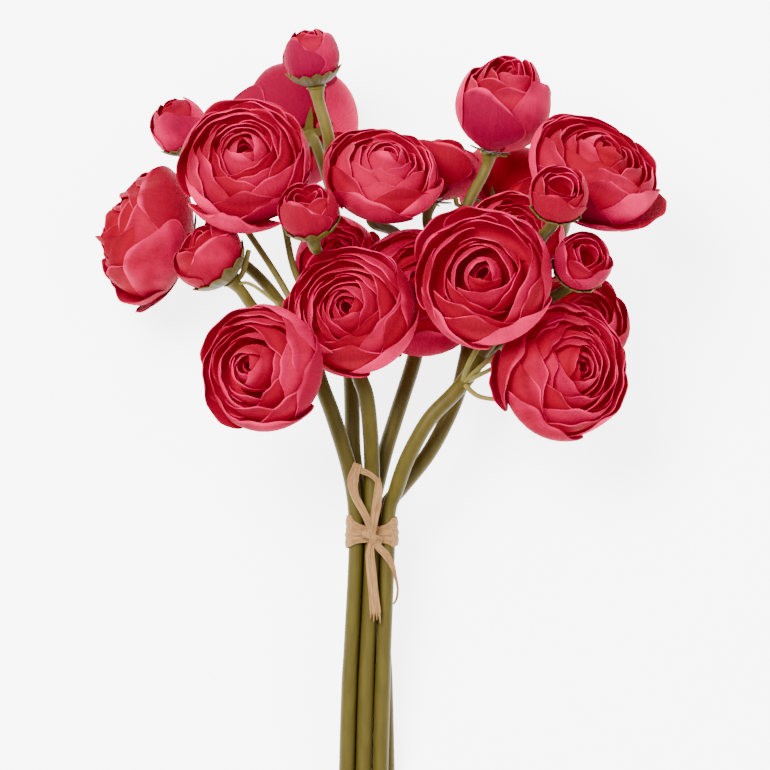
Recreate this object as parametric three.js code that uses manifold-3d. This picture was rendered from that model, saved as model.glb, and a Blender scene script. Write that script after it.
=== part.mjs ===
// A tied bunch of fabric ranunculus (Persian buttercup): sixteen blooms, six buds,
// six branching stems and a raffia tie. All sizes are in millimetres.
//
// The bunch is drawn first in its own frame: x to the right, y along the bunch
// from the cut ends to the heads, z towards the side the heads face. It is then
// laid down on its back: y tilts up by LIE_TILT, and the lowest points are
// trimmed flat where they touch the ground.
import * as THREE from "three";
import Module from "manifold-3d";
import { mergeVertices } from "three/addons/utils/BufferGeometryUtils.js";

const wasm = await Module();
wasm.setup();

// How the bunch lies.
const LIE_TILT = 12.43; // degrees between the bunch's length and the ground
const PRESS = 0.6; // how deep the lowest points are flattened

// Stems.
const STEM_RADIUS = 3.0;
const WAIST_RADIUS = 2.8; // where the tie squeezes them
const STEM_SIDES = 6;
const STALK_SIDES = 5;
const ROUTE_TOLERANCE = 0.85; // how far a straight piece may cut a bend

// Petals.
const PETAL_THICKNESS = 0.9;
const OVERLAP_STEP = 1.2; // a petal's right edge stands out, its left edge tucks in
const CALYX_GAP = 0.45; // clearance between a head and its calyx
const CALYX_WALL = 1.0;
const AROUND = 8; // flats round each head's underside and calyx

// Raffia tie.
const TIE_LOW = 102.8; // heights above the cut ends
const TIE_MIDDLE = 108.6;
const TIE_HIGH = 114.6;
const TIE_GAP = 0.35;
const TIE_WALL = 0.8;
const TIE_STEP = 0.5; // the upper turn lies over the lower one
const RAFFIA_WIDTH = 3.6;
const RAFFIA_THICKNESS = 0.9;

const V = (x, y, z) => new THREE.Vector3(x, y, z);
const rad = THREE.MathUtils.degToRad;

// Repeatable scatter between -1 and 1 for item k of a head.
function scatter(seed, k) {
  const wave = Math.sin(seed * 12.9898 + k * 78.233) * 43758.5453;
  return 2 * (wave - Math.floor(wave)) - 1;
}

// The heads. at: middle of the widest part. facing: from the stalk to the face.
// under and over: depth below and above the widest part. turn: direction of the
// first outer petal, in degrees round the facing axis. open: the direction in
// which the petals stand most open, and by how much; the others close in. shut:
// how much further all the petals of a globe-shaped bloom close in, in degrees.
// extra: loose outer petals, with their direction, reach (tip angle), half width,
// how far they stand out, and how pointed they are.
const BLOOMS = [
  { name: "bloom_01", at: [-90.5, 221, -18], facing: [-0.95, 0.2, 0.2],
    radius: 26, under: 16, over: 20, turn: 40, open: [150, 0.3], shut: 5,
    extra: [{ turn: 262, tip: 84, half: 30, out: 1.6, point: 0.8 }] },
  { name: "bloom_02", at: [-52.5, 248, 18], facing: [-0.05, 0.3, 0.95],
    radius: 24.5, under: 14, over: 12, turn: 20, open: [95, 0.8],
    extra: [{ turn: 258, tip: 122, half: 44, out: 3, point: 0.6 }] },
  { name: "bloom_03", at: [-35.5, 265.5, -47.25], facing: [-0.35, 0.35, -0.87],
    radius: 25.5, under: 15, over: 16, turn: 75, open: [90, 0.2], extra: [] },
  { name: "bloom_04", at: [-1, 244, 16], facing: [0.15, 0.68, 0.72],
    radius: 22.5, under: 13, over: 12, turn: 250, open: [60, 0.5], extra: [] },
  { name: "bloom_05", at: [18.7, 248, -17], facing: [0.1, 0.9, -0.2],
    radius: 17.5, under: 13, over: 14, turn: 15, open: [90, 0.3], shut: 10,
    extra: [] },
  { name: "bloom_06", at: [44.6, 270, -3], facing: [0.25, 0.92, 0.25],
    radius: 17.4, under: 17, over: 21, turn: 200, open: [215, 0.8], shut: 22,
    extra: [{ turn: 50, tip: 124, half: 32, out: 1.4, point: 0.1 }] },
  { name: "bloom_07", at: [79, 246.5, 17], facing: [0.38, 0.66, 0.65],
    radius: 25.5, under: 17, over: 12, turn: 150, open: [60, 0.8],
    extra: [
      { turn: 318, tip: 82, half: 36, out: 4.5, point: 0.2 },
      { turn: 268, tip: 84, half: 36, out: 3.4, point: 0.2 },
    ] },
  { name: "bloom_08", at: [48, 238.5, -44], facing: [0.35, 0.45, -0.82],
    radius: 20.5, under: 14, over: 14, turn: 30, open: [90, 0.2], extra: [] },
  { name: "bloom_09", at: [37, 203.5, 40], facing: [-0.05, 0.05, 1],
    radius: 25.5, under: 14, over: 12, turn: 230, open: [90, 0.9],
    extra: [{ turn: 128, tip: 94, half: 36, out: 2.4, point: 0.1 }] },
  { name: "bloom_10", at: [-12, 191.5, 28], facing: [-0.12, 0.1, 0.98],
    radius: 24, under: 14, over: 12, turn: 310, open: [140, 1],
    extra: [{ turn: 185, tip: 92, half: 26, out: 2.2, point: 0.2 }] },
  { name: "bloom_11", at: [-45.5, 170, 48], facing: [-0.3, 0, 0.93],
    radius: 23.5, under: 14, over: 12, turn: 345, open: [165, 0.9], extra: [] },
  { name: "bloom_12", at: [67, 169.5, 20], facing: [0.4, 0.03, 0.89],
    radius: 26, under: 14, over: 12, turn: 170, open: [20, 0.8], extra: [] },
  { name: "bloom_13", at: [13, 199.5, -1], facing: [0, 0.1, 0.98],
    radius: 24.5, under: 13, over: 11, turn: 285, open: [90, 0.6], extra: [] },
  { name: "bloom_14", at: [-18, 213.5, -17], facing: [0, 0.3, 0.95],
    radius: 15.5, under: 11, over: 10, turn: 160, open: [60, 0.5], extra: [] },
  { name: "bloom_15", at: [49.5, 220.5, 4], facing: [0.1, 0.5, 0.86],
    radius: 18.5, under: 12, over: 11, turn: 100, open: [90, 0.5], extra: [] },
  { name: "bloom_16", at: [74.5, 188.5, -12], facing: [0.35, 0.35, 0.87],
    radius: 19.5, under: 12, over: 11, turn: 60, open: [60, 0.5], extra: [] },
];
const BUDS = [
  { name: "bud_1", at: [-28, 289, -4], facing: [-0.16, 0.96, 0.2],
    radius: 10.6, under: 10, over: 12, turn: 20, open: 138 },
  { name: "bud_2", at: [-78.5, 263, -14], facing: [-0.45, 0.85, 0.25],
    radius: 10.6, under: 10, over: 12, turn: 80, open: 138 },
  { name: "bud_3", at: [-28.5, 229, 38], facing: [-0.15, 0.85, 0.5],
    radius: 11, under: 10, over: 12, turn: 140, open: 130 },
  { name: "bud_4", at: [-67, 213.5, 12], facing: [-0.6, 0.65, 0.3],
    radius: 13.4, under: 12, over: 13, turn: 230, open: 126 },
  { name: "bud_5", at: [64.5, 235, 52], facing: [0.1, 0.6, 0.79],
    radius: 10.8, under: 10, over: 11, turn: 10, open: 130 },
  { name: "bud_6", at: [74, 210.5, 34], facing: [0.25, 0.5, 0.83],
    radius: 10.8, under: 10, over: 11, turn: 300, open: 126 },
];

// The layers of petals of a bloom, from the outside in. radius and over are
// shares of the bloom's own; root, shoulder and tip are angles up from the stalk
// of a petal's claw, of where it is broad, and of its tip. close is added to the
// tip angle on the side that is closed. A petal with a belly has a row of corners
// halfway up to round it.
const BLOOM_LAYERS = [
  { petals: 5, radius: 1.0, over: 1.0, root: 12, shoulder: 50, tip: 99,
    close: 26, half: 46, belly: true },
  { petals: 4, radius: 0.81, over: 1.1, root: 14, shoulder: 62, tip: 104,
    close: 34, half: 54, belly: false },
  { petals: 3, radius: 0.62, over: 1.15, root: 20, shoulder: 76, tip: 110,
    close: 26, half: 68, belly: false },
];
const BLOOM_CUP = 38; // the receptacle covers the underside up to this angle
const BUD_CUP = 50;

// The stems, from the cut end up to where the stalks part, and their stalks.
// neck: how far a stalk runs straight behind its head. Heights count from the
// cut ends. tags: narrow leaf stalks that stand off the stem.
const STEMS = [
  { name: "stem_1",
    route: [[-15, 0, 3.1], [-13.6, 50, 3.3], [-11.2, 98, 3.6], [-11.3, 116, 3.6],
      [-13.5, 132, 4], [-19.5, 152, 5], [-24.5, 165.5, 4], [-28, 177.5, 0]],
    stalks: [
      { head: "bloom_11", radius: 2.2, via: [[-36, 176.5, 16]], neck: 7 },
      { head: "bud_4", radius: 2.2, via: [[-37.5, 182, -1], [-49, 192.5, 2]],
        neck: 7 },
      { head: "bloom_01", radius: 2.2, via: [[-39.5, 195, -11], [-52, 209, -20]],
        neck: 11 },
      { head: "bud_2", radius: 1.3,
        via: [[-37, 198.5, -8], [-51.5, 221.5, -12], [-64, 239, -18]], neck: 9 },
    ],
    tags: [
      [[-58.5, 202, 6], [-54, 206.5, 8.5], [-51.5, 215.5, 9]],
      [[-58.5, 202, 6], [-51, 202.5, 10], [-40, 194.5, 12]],
    ] },
  { name: "stem_2",
    route: [[-11.9, 0, -2.8], [-10.2, 50, -2.6], [-8.5, 98, -1.9],
      [-8.8, 116, -1.8], [-12, 137.5, -3], [-12.5, 153, -6], [-13, 167, -9],
      [-14.5, 181.5, -12]],
    stalks: [
      { head: "bloom_02", radius: 1.3, via: [[-33, 204, -12], [-40, 230, -10]],
        neck: 10 },
      { head: "bloom_03", radius: 2.0, via: [[-20.5, 201, -38], [-19, 229, -31.5]],
        neck: 10 },
      { head: "bud_1", radius: 2.3,
        via: [[-18, 205, -38], [-22, 222.5, -37], [-21, 241, -20],
          [-21.5, 258, -9]], neck: 7 },
      { head: "bloom_14", radius: 2.0, via: [[-16, 192.5, -28]], neck: 9 },
    ],
    tags: [] },
  { name: "stem_3",
    route: [[-8.6, 0, 3.2], [-7.2, 50, 3.7], [-5.1, 98, 4.1], [-5.1, 116, 4.2],
      [-5, 132, 4], [-5.5, 145.5, 7], [-7, 159.5, 8], [-9.5, 167, 7],
      [-12, 174.5, 3]],
    stalks: [
      { head: "bloom_10", radius: 2.2, via: [[-16, 181, 2]], neck: 7 },
      { head: "bud_3", radius: 2.0, via: [[-21, 192, 4], [-24.5, 212, 14]],
        neck: 5 },
    ],
    tags: [] },
  { name: "stem_4",
    route: [[-5.4, 0, -5.6], [-5.2, 50, -6.6], [-5.1, 98, -7.4],
      [-4.8, 116, -7.6], [-0.5, 136.5, -6.6], [4.5, 153, -10], [10, 170, -14],
      [12.5, 179.5, -16]],
    stalks: [
      { head: "bloom_04", radius: 2.1, via: [[7.5, 217.5, -18]], neck: 12 },
      { head: "bloom_05", radius: 2.0, via: [[21, 210.5, -18]], neck: 9 },
      { head: "bloom_13", radius: 2.1, via: [[13, 187.5, -25]], neck: 8 },
    ],
    tags: [] },
  { name: "stem_5",
    route: [[-2.2, 0, 3.1], [-0.9, 50, 3.5], [0.9, 98, 3.8], [1.4, 116, 4.1],
      [4, 124, 5.5], [8.5, 136.5, 8], [16.5, 151, 10], [25.5, 160.5, 9],
      [31.5, 167.5, 6], [37.5, 177, 0]],
    stalks: [
      { head: "bloom_09", radius: 2.2, via: [[43.5, 188, 2]], neck: 10 },
      { head: "bloom_12", radius: 2.2, via: [[48.5, 174, -5]], neck: 10 },
      { head: "bloom_16", radius: 2.0, via: [[48, 177, -20], [58.5, 176, -33]],
        neck: 9 },
      { head: "bud_6", radius: 2.0, via: [[51, 186, 4], [61.5, 196, 12]],
        neck: 8 },
      { head: "bud_5", radius: 2.2,
        via: [[45.5, 188, 8], [51.5, 205.5, 19], [58, 218.5, 25]], neck: 7 },
    ],
    tags: [
      [[29.5, 165, 9], [31.5, 172, 15], [36.5, 181, 17]],
      [[29.5, 165, 9], [36, 171, 15.5], [42, 176, 17]],
      [[29.5, 165, 9], [36.5, 168.5, 14.5], [42.5, 171.5, 15]],
      [[29.5, 165, 9], [35.5, 160, 14.5], [45.5, 158.5, 16]],
    ] },
  { name: "stem_6",
    route: [[1.1, 0, -2.8], [0, 50, -2.9], [-1.8, 98, -2.2], [-0.7, 116, -2.2],
      [6, 125, -2], [16, 137.5, -3.5], [23, 150, -4.5], [28, 162, -8],
      [31, 174, -12], [32.5, 181.5, -15]],
    stalks: [
      { head: "bloom_06", radius: 2.1,
        via: [[31, 197, -24], [27.5, 216, -19], [30.5, 231, -7]],
        neck: 8 },
      { head: "bloom_07", radius: 2.2, via: [[58, 208.5, -19], [67.5, 222, -12]],
        neck: 8 },
      { head: "bloom_08", radius: 2.0, via: [[34, 209.5, -22]], neck: 12 },
      { head: "bloom_15", radius: 2.0, via: [[43.5, 200.5, -18]], neck: 10 },
    ],
    tags: [[[29.5, 232.5, -9], [27.5, 233, -5], [26.8, 235.5, -2.5]]] },
];

// A closed solid from points and triangles that face outwards.
function solidOf(points, faces) {
  const flat = new Float32Array(points.flatMap((p) => [p.x, p.y, p.z]));
  return new wasm.Manifold(
    new wasm.Mesh({
      numProp: 3,
      vertProperties: flat,
      triVerts: new Uint32Array(faces.flat()),
    }),
  );
}

// A closed solid through rings of points, each ring counted the same way round,
// with a point that closes the first ring and one that closes the last.
function loft(rings, first, last) {
  const count = rings[0].length;
  const points = rings.flat();
  const faces = [];
  for (let row = 0; row + 1 < rings.length; row++) {
    for (let i = 0; i < count; i++) {
      const j = (i + 1) % count;
      const low = row * count;
      const high = low + count;
      faces.push([low + i, low + j, high + j], [low + i, high + j, high + i]);
    }
  }
  const top = (rings.length - 1) * count;
  points.push(first, last);
  for (let i = 0; i < count; i++) {
    const j = (i + 1) % count;
    faces.push([points.length - 2, j, i]);
    faces.push([points.length - 1, top + i, top + j]);
  }
  return solidOf(points, faces);
}

// A smooth route through points, with the ends led in by before and out by after.
function smoothRoute(points, before, after) {
  const all = [before, ...points, after];
  const steps = 8;
  const route = [];
  for (let i = 1; i + 2 < all.length; i++) {
    const [a, b, c, d] = all.slice(i - 1, i + 3);
    for (let s = 0; s < steps; s++) {
      const t = s / steps;
      const at = (p, q, r, w) =>
        0.5 * (2 * q + (r - p) * t + (2 * p - 5 * q + 4 * r - w) * t * t +
          (3 * q - p - 3 * r + w) * t * t * t);
      route.push(V(at(a.x, b.x, c.x, d.x), at(a.y, b.y, c.y, d.y),
        at(a.z, b.z, c.z, d.z)));
    }
  }
  route.push(points[points.length - 1].clone());
  return route;
}

// Keeps only the points of a route that its shape needs.
function thinned(route, tolerance) {
  if (route.length < 3) return route;
  const chord = new THREE.Line3(route[0], route[route.length - 1]);
  let worst = 0;
  let where = 0;
  route.forEach((p, i) => {
    const near = chord.closestPointToPoint(p, true, V(0, 0, 0));
    if (near.distanceTo(p) > worst) {
      worst = near.distanceTo(p);
      where = i;
    }
  });
  if (worst <= tolerance) return [route[0], route[route.length - 1]];
  const head = thinned(route.slice(0, where + 1), tolerance);
  return [...head.slice(0, -1), ...thinned(route.slice(where), tolerance)];
}

// A round rod along a route. radiusAt gives its radius at each point.
function rod(route, sides, radiusAt) {
  const rings = [];
  let side = null;
  route.forEach((p, i) => {
    const back = route[Math.max(i - 1, 0)];
    const fore = route[Math.min(i + 1, route.length - 1)];
    const along = fore.clone().sub(back).normalize();
    if (!side) side = Math.abs(along.x) < 0.8 ? V(1, 0, 0) : V(0, 0, 1);
    side = side.clone().addScaledVector(along, -side.dot(along)).normalize();
    const other = along.clone().cross(side);
    const ring = [];
    for (let k = 0; k < sides; k++) {
      const angle = (2 * Math.PI * (k + 0.5)) / sides;
      ring.push(p.clone()
        .addScaledVector(side, Math.cos(angle) * radiusAt(p))
        .addScaledVector(other, Math.sin(angle) * radiusAt(p)));
    }
    rings.push(ring);
  });
  return loft(rings, route[0].clone(), route[route.length - 1].clone());
}

// The three axes of a head: two across it and one out of its face.
function axesOf(head) {
  const out = V(...head.facing).normalize();
  const across = V(0, 1, 0).cross(out).normalize();
  return { across, up: out.clone().cross(across), out, at: V(...head.at) };
}

// A point of a head: distance from its axis, direction round it, height over
// its widest part.
function placed(axes, distance, turn, height) {
  return axes.at.clone()
    .addScaledVector(axes.across, distance * Math.cos(turn))
    .addScaledVector(axes.up, distance * Math.sin(turn))
    .addScaledVector(axes.out, height);
}

// How wide a petal is at share v of the way from its shoulder to its tip.
function petalWidth(v, point) {
  return 0.8 + 0.9 * v * (1 - v) - (0.2 + 0.45 * point) * v ** 3;
}

// One petal: a lens-shaped blade bent over an egg-shaped shell. It grows from one
// point at its claw, inside the head's core.
function petal(head, axes, shape) {
  const radius = head.radius * shape.radius;
  const under = head.under * shape.radius;
  const over = head.over * shape.over;
  const at = (u, v, lift) => {
    const turn = rad(shape.turn + u * shape.half * petalWidth(v, shape.point));
    const climb = (shape.tip - shape.shoulder) * v * (1 - 0.2 * u * u);
    const angle = rad(shape.shoulder + climb);
    const ripple = shape.wave * v * v * Math.sin(3.1 * u + shape.phase);
    const out = radius + shape.out + shape.step * u + ripple + lift;
    const deep = Math.cos(angle) > 0 ? under : over;
    return placed(axes, out * Math.sin(angle), turn,
      -(deep + lift) * Math.cos(angle));
  };
  const claw = rad(shape.root);
  const points = [placed(axes, radius * Math.sin(claw), rad(shape.turn),
    -under * Math.cos(claw))];
  // A row of corners across the petal. Corners on its edge serve both faces.
  const row = (cells, v) => Array.from({ length: cells + 1 }, (_, i) => {
    const u = (2 * i) / cells - 1;
    const edge = i === 0 || i === cells || v === 1;
    points.push(at(u, v, edge ? 0 : PETAL_THICKNESS / 2));
    if (!edge) points.push(at(u, v, -PETAL_THICKNESS / 2));
    const last = points.length - 1;
    return edge ? [last, last] : [last - 1, last];
  });
  const faces = [];
  const cover = (p, q, r) => {
    faces.push([p[0], q[0], r[0]]);
    faces.push([p[1], r[1], q[1]]);
  };
  const shoulder = row(2, 0);
  cover([0, 0], shoulder[1], shoulder[0]);
  cover([0, 0], shoulder[2], shoulder[1]);
  if (!shape.belly) {
    // From the middle of the shoulder to every corner of the tip.
    const tip = row(4, 1);
    cover(shoulder[0], shoulder[1], tip[0]);
    for (let i = 0; i < 4; i++) cover(shoulder[1], tip[i + 1], tip[i]);
    cover(shoulder[1], shoulder[2], tip[4]);
    return solidOf(points, faces);
  }
  const belly = row(4, 0.5);
  const tip = row(4, 1);
  for (let i = 0; i < 2; i++) {
    cover(shoulder[i], belly[2 * i + 1], belly[2 * i]);
    cover(shoulder[i], shoulder[i + 1], belly[2 * i + 1]);
    cover(shoulder[i + 1], belly[2 * i + 2], belly[2 * i + 1]);
  }
  for (let i = 0; i < 4; i++) {
    // The diagonal leans inwards, so that no corner is a flat flap.
    if (i < 2) {
      cover(belly[i], belly[i + 1], tip[i]);
      cover(belly[i + 1], tip[i + 1], tip[i]);
    } else {
      cover(belly[i], belly[i + 1], tip[i + 1]);
      cover(belly[i], tip[i + 1], tip[i]);
    }
  }
  return solidOf(points, faces);
}

// A turned core round a head's axis, from a list of [distance, height].
function turned(axes, profile) {
  const rings = profile.slice(1, -1).map(([distance, height]) =>
    Array.from({ length: AROUND }, (_, k) =>
      placed(axes, distance, (2 * Math.PI * k) / AROUND, height)));
  const [low, high] = [profile[0], profile[profile.length - 1]];
  return loft(rings, placed(axes, 0, 0, low[1]), placed(axes, 0, 0, high[1]));
}

// The underside of a head's receptacle at an angle up from the stalk.
const underside = (head, angle, grow) => [
  (head.radius + 1.2 + 2 * grow) * Math.sin(rad(angle)),
  -(head.under + 0.6 + grow) * Math.cos(rad(angle)),
];

function bloom(head, seed) {
  const axes = axesOf(head);
  const { radius, over } = head;
  let solid = turned(axes, [
    underside(head, 0, 0),
    underside(head, 16, 0),
    underside(head, BLOOM_CUP, 0),
    [radius * 0.43, over * 0.12],
    [radius * 0.2, over * 0.84],
    [0, over * 0.6],
  ]);
  BLOOM_LAYERS.forEach((layer, depth) => {
    for (let k = 0; k < layer.petals; k++) {
      const key = depth * 10 + k;
      const turn = head.turn + 31 * depth + (360 * k) / layer.petals +
        4 * scatter(seed, key);
      const lean = head.open[1] * Math.cos(rad(turn - head.open[0]));
      solid = solid.add(petal(head, axes, {
        ...layer,
        turn,
        tip: layer.tip + (layer.close * (1 - lean)) / 2 + (head.shut ?? 0) +
          4 * scatter(seed, key + 40),
        half: layer.half + 2 * scatter(seed, key + 80),
        step: OVERLAP_STEP,
        out: 0,
        wave: 0.35,
        phase: 3 * scatter(seed, key + 120),
        point: 0,
      }));
    }
  });
  for (const loose of head.extra) {
    solid = solid.add(petal(head, axes, {
      ...BLOOM_LAYERS[0],
      ...loose,
      step: 0.4,
      out: loose.out,
      wave: 0.3,
      phase: 1,
    }));
  }
  return solid;
}

function bud(head, seed) {
  const axes = axesOf(head);
  const { radius, over } = head;
  let solid = turned(axes, [
    underside(head, 0, -0.3),
    underside(head, 22, -0.3),
    underside(head, BUD_CUP, -0.3),
    [radius * 0.7, over * 0.3],
    [radius * 0.2, over * 0.72],
    [0, over * 0.5],
  ]);
  for (let k = 0; k < 4; k++) {
    solid = solid.add(petal(head, axes, {
      radius: 1, over: 1, root: 14, shoulder: 62, belly: true,
      turn: head.turn + 90 * k + 6 * scatter(seed, k),
      tip: head.open + 7 * scatter(seed, k + 40),
      half: 62,
      step: 0.8,
      out: 0,
      wave: 0.2,
      phase: k,
      point: 0.5,
    }));
  }
  return solid;
}

// The green calyx of a head: a thin cup with pointed teeth, standing clear of
// the head's underside.
function calyx(head, isBud) {
  const axes = axesOf(head);
  const grow = isBud ? -0.3 : 0;
  const rows = isBud ? [22, 42] : [10];
  const notch = isBud ? 50 : 16;
  const tooth = isBud ? 63 : 26;
  const ring = (angle, lift) => Array.from({ length: AROUND }, (_, k) => {
    const [distance, height] = underside(head, angle, grow + lift);
    return placed(axes, distance, (2 * Math.PI * k) / AROUND, height);
  });
  const rim = Array.from({ length: AROUND }, (_, k) => {
    const isTooth = k % 2 === 0;
    const flare = isTooth ? 0.8 : 0.5;
    const [distance, height] = underside(head, isTooth ? tooth : notch,
      grow + CALYX_GAP + flare);
    return placed(axes, distance, (2 * Math.PI * k) / AROUND, height);
  });
  const inner = CALYX_GAP;
  const outer = CALYX_GAP + CALYX_WALL;
  const lowest = placed(axes, 0, 0, underside(head, 0, grow + outer)[1]);
  const floor = placed(axes, 0, 0, underside(head, 0, grow + inner)[1]);
  const rings = [
    ...rows.map((angle) => ring(angle, outer)),
    rim,
    ...rows.map((angle) => ring(angle, inner)).reverse(),
  ];
  return loft(rings, lowest, floor);
}

const HEADS = new Map();
for (const head of BLOOMS) HEADS.set(head.name, { head, isBud: false });
for (const head of BUDS) HEADS.set(head.name, { head, isBud: true });

function stem(plan) {
  const route = plan.route.map((p) => V(...p));
  const count = route.length;
  const start = route[0].clone().multiplyScalar(2).sub(route[1]);
  const end = route[count - 1].clone().multiplyScalar(2).sub(route[count - 2]);
  const main = thinned(smoothRoute(route, start, end), ROUTE_TOLERANCE);
  const squeezed = (p) =>
    p.y > 60 && p.y < 122 ? WAIST_RADIUS : STEM_RADIUS;
  let solid = rod(main, STEM_SIDES, squeezed);
  const fork = route[count - 1];
  const lead = fork.clone().sub(route[count - 2]).setLength(9);
  for (const stalk of plan.stalks) {
    const { head, isBud } = HEADS.get(stalk.head);
    const { out, at } = axesOf(head);
    const base = at.clone().addScaledVector(out, -(head.under + 1.4));
    const neck = base.clone().addScaledVector(out, -stalk.neck);
    const points = [
      fork.clone().addScaledVector(lead, -0.5),
      ...stalk.via.map((p) => V(...p)),
      neck,
      base,
    ];
    const line = smoothRoute(points, fork.clone().addScaledVector(lead, -1.5),
      base.clone().addScaledVector(out, stalk.neck));
    const widening = (p) => {
      const near = Math.max(0, 1 - p.distanceTo(base) / 6);
      return stalk.radius + (0.5 + 0.2 * stalk.radius) * near;
    };
    solid = solid.add(
      rod(thinned(line, ROUTE_TOLERANCE), STALK_SIDES, widening));
    solid = solid.add(calyx(head, isBud));
  }
  for (const tag of plan.tags) {
    const points = tag.map((p) => V(...p));
    const line = smoothRoute(points,
      points[0].clone().multiplyScalar(2).sub(points[1]),
      points[2].clone().multiplyScalar(2).sub(points[1]));
    solid = solid.add(rod(thinned(line, ROUTE_TOLERANCE), 4, () => 1.1));
  }
  return solid;
}

// The outline of the stems at the tie, grown by a margin: straight sides that
// touch every stem's circle.
function bundleOutline(margin, height) {
  const sides = 12;
  const reach = (angle) => {
    let most = -Infinity;
    for (const plan of STEMS) {
      for (const p of plan.route.slice(2, 4)) {
        const far = p[0] * Math.cos(angle) + p[2] * Math.sin(angle);
        most = Math.max(most, far);
      }
    }
    return most + WAIST_RADIUS + 0.35 + margin;
  };
  return Array.from({ length: sides }, (_, k) => {
    const a = (2 * Math.PI * k) / sides;
    const b = (2 * Math.PI * (k + 1)) / sides;
    const turn = Math.sin(b - a);
    const x = (reach(a) * Math.sin(b) - reach(b) * Math.sin(a)) / turn;
    const z = (reach(b) * Math.cos(a) - reach(a) * Math.cos(b)) / turn;
    return V(x, height, z);
  });
}

// A flat ribbon along a route that lies in front of the stems.
function ribbon(points, width, thickness, taper) {
  const route = points.map((p) => V(...p));
  const rings = route.map((p, i) => {
    const back = route[Math.max(i - 1, 0)];
    const fore = route[Math.min(i + 1, route.length - 1)];
    const along = fore.clone().sub(back).normalize();
    const side = along.clone().cross(V(0, 0, 1)).normalize();
    const face = side.clone().cross(along);
    const half = (width / 2) * (1 - (taper * i) / (route.length - 1));
    return [[-1, 1], [1, 1], [1, -1], [-1, -1]].map(([s, f]) =>
      p.clone().addScaledVector(side, s * half)
        .addScaledVector(face, (f * thickness) / 2));
  });
  return loft(rings, route[0].clone(), route[route.length - 1].clone());
}

function raffiaTie() {
  const lower = TIE_GAP + TIE_WALL;
  const upper = lower + TIE_STEP;
  const outside = [
    bundleOutline(lower, TIE_LOW),
    bundleOutline(lower, TIE_MIDDLE),
    bundleOutline(upper, TIE_MIDDLE + 0.6),
    bundleOutline(upper, TIE_HIGH),
  ];
  const inside = [
    bundleOutline(TIE_GAP, TIE_LOW - 1),
    bundleOutline(TIE_GAP, TIE_HIGH + 1),
  ];
  const middle = (height) => V(-5, height, 0);
  // The outlines run against the height, so each ring is turned round.
  const flip = (ring) => ring.slice().reverse();
  const full = loft(outside.map(flip), middle(TIE_LOW), middle(TIE_HIGH));
  const hole = loft(inside.map(flip), middle(TIE_LOW - 1), middle(TIE_HIGH + 1));
  let solid = full.subtract(hole);
  const knotAt = V(-4.6, 106.8, 9.6);
  const knotRings = [0.62, 0, -0.62].map((share) =>
    Array.from({ length: 7 }, (_, k) => {
      const angle = (2 * Math.PI * k) / 7;
      const size = Math.sqrt(1 - share * share);
      return knotAt.clone().add(V(3.1 * size * Math.cos(angle),
        3.2 * share, 2.3 * size * Math.sin(angle)));
    }));
  solid = solid.add(loft(knotRings, knotAt.clone().add(V(0, 3.2, 0)),
    knotAt.clone().add(V(0, -3.2, 0))));
  solid = solid.add(ribbon([[-5.4, 106.5, 10], [-9, 114, 10.9],
    [-13, 123.2, 11], [-13.4, 130, 11], [-11.8, 134, 11.1],
    [-5.2, 129.8, 11.2], [-4, 119, 11], [-4, 107.5, 10.2]],
    RAFFIA_WIDTH, RAFFIA_THICKNESS, 0));
  solid = solid.add(ribbon([[-5.4, 106, 10.6], [-5.4, 100, 10.4],
    [-4.2, 86, 9.4], [-3.1, 73.8, 9]], RAFFIA_WIDTH, RAFFIA_THICKNESS, -0.15));
  solid = solid.add(ribbon([[-3.8, 105.6, 10], [-0.6, 102, 10],
    [2.6, 98.8, 9.6], [4.3, 93, 9.2], [4.9, 86, 9], [3.5, 81.6, 9]],
    1.9, 1.1, 0.3));
  return solid;
}

// A three.js geometry from a solid, and a solid from a geometry.
function geometryOf(solid) {
  const data = solid.getMesh();
  const geometry = new THREE.BufferGeometry();
  geometry.setAttribute("position",
    new THREE.BufferAttribute(new Float32Array(data.vertProperties), 3));
  geometry.setIndex(new THREE.BufferAttribute(new Uint32Array(data.triVerts), 1));
  return geometry;
}
function solidFrom(geometry) {
  const bare = geometry.clone().deleteAttribute("normal").deleteAttribute("uv");
  const merged = mergeVertices(bare, 1e-4);
  return new wasm.Manifold(
    new wasm.Mesh({
      numProp: 3,
      vertProperties: merged.attributes.position.array,
      triVerts: new Uint32Array(merged.index.array),
    }),
  );
}

const pieces = new Map();
BLOOMS.forEach((head, k) => pieces.set(head.name, bloom(head, k + 1)));
BUDS.forEach((head, k) => pieces.set(head.name, bud(head, k + 31)));
for (const plan of STEMS) pieces.set(plan.name, stem(plan));
pieces.set("raffia_tie", raffiaTie());

// Each piece is laid down on its back.
let lowest = Infinity;
for (const [name, solid] of pieces) {
  const laid = geometryOf(solid).rotateX(rad(LIE_TILT));
  laid.computeBoundingBox();
  lowest = Math.min(lowest, laid.boundingBox.min.z);
  pieces.set(name, laid);
}

// What lies under the ground is cut away, which leaves the flat spots.
const ground = lowest + PRESS;
const slab = new THREE.BoxGeometry(500, 700, 20);
slab.translate(0, 100, ground - 10);
const earth = solidFrom(slab);
const COLOURS = { bloom: 0xd8214a, bud: 0xcf2347, stem: 0x82713a, raffia: 0xd2af8c };

function meshOf(name, laid) {
  const touches = laid.boundingBox.min.z < ground;
  const shape = touches
    ? geometryOf(solidFrom(laid).subtract(earth))
    : laid;
  const material = new THREE.MeshStandardMaterial({
    color: COLOURS[name.split("_")[0]],
    roughness: 0.7,
    flatShading: true,
  });
  const mesh = new THREE.Mesh(mergeVertices(shape, 1e-4), material);
  mesh.name = name;
  return mesh;
}

const bunch = new THREE.Group();
bunch.name = "ranunculus_bunch";
for (const [name, laid] of pieces) bunch.add(meshOf(name, laid));

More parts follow.
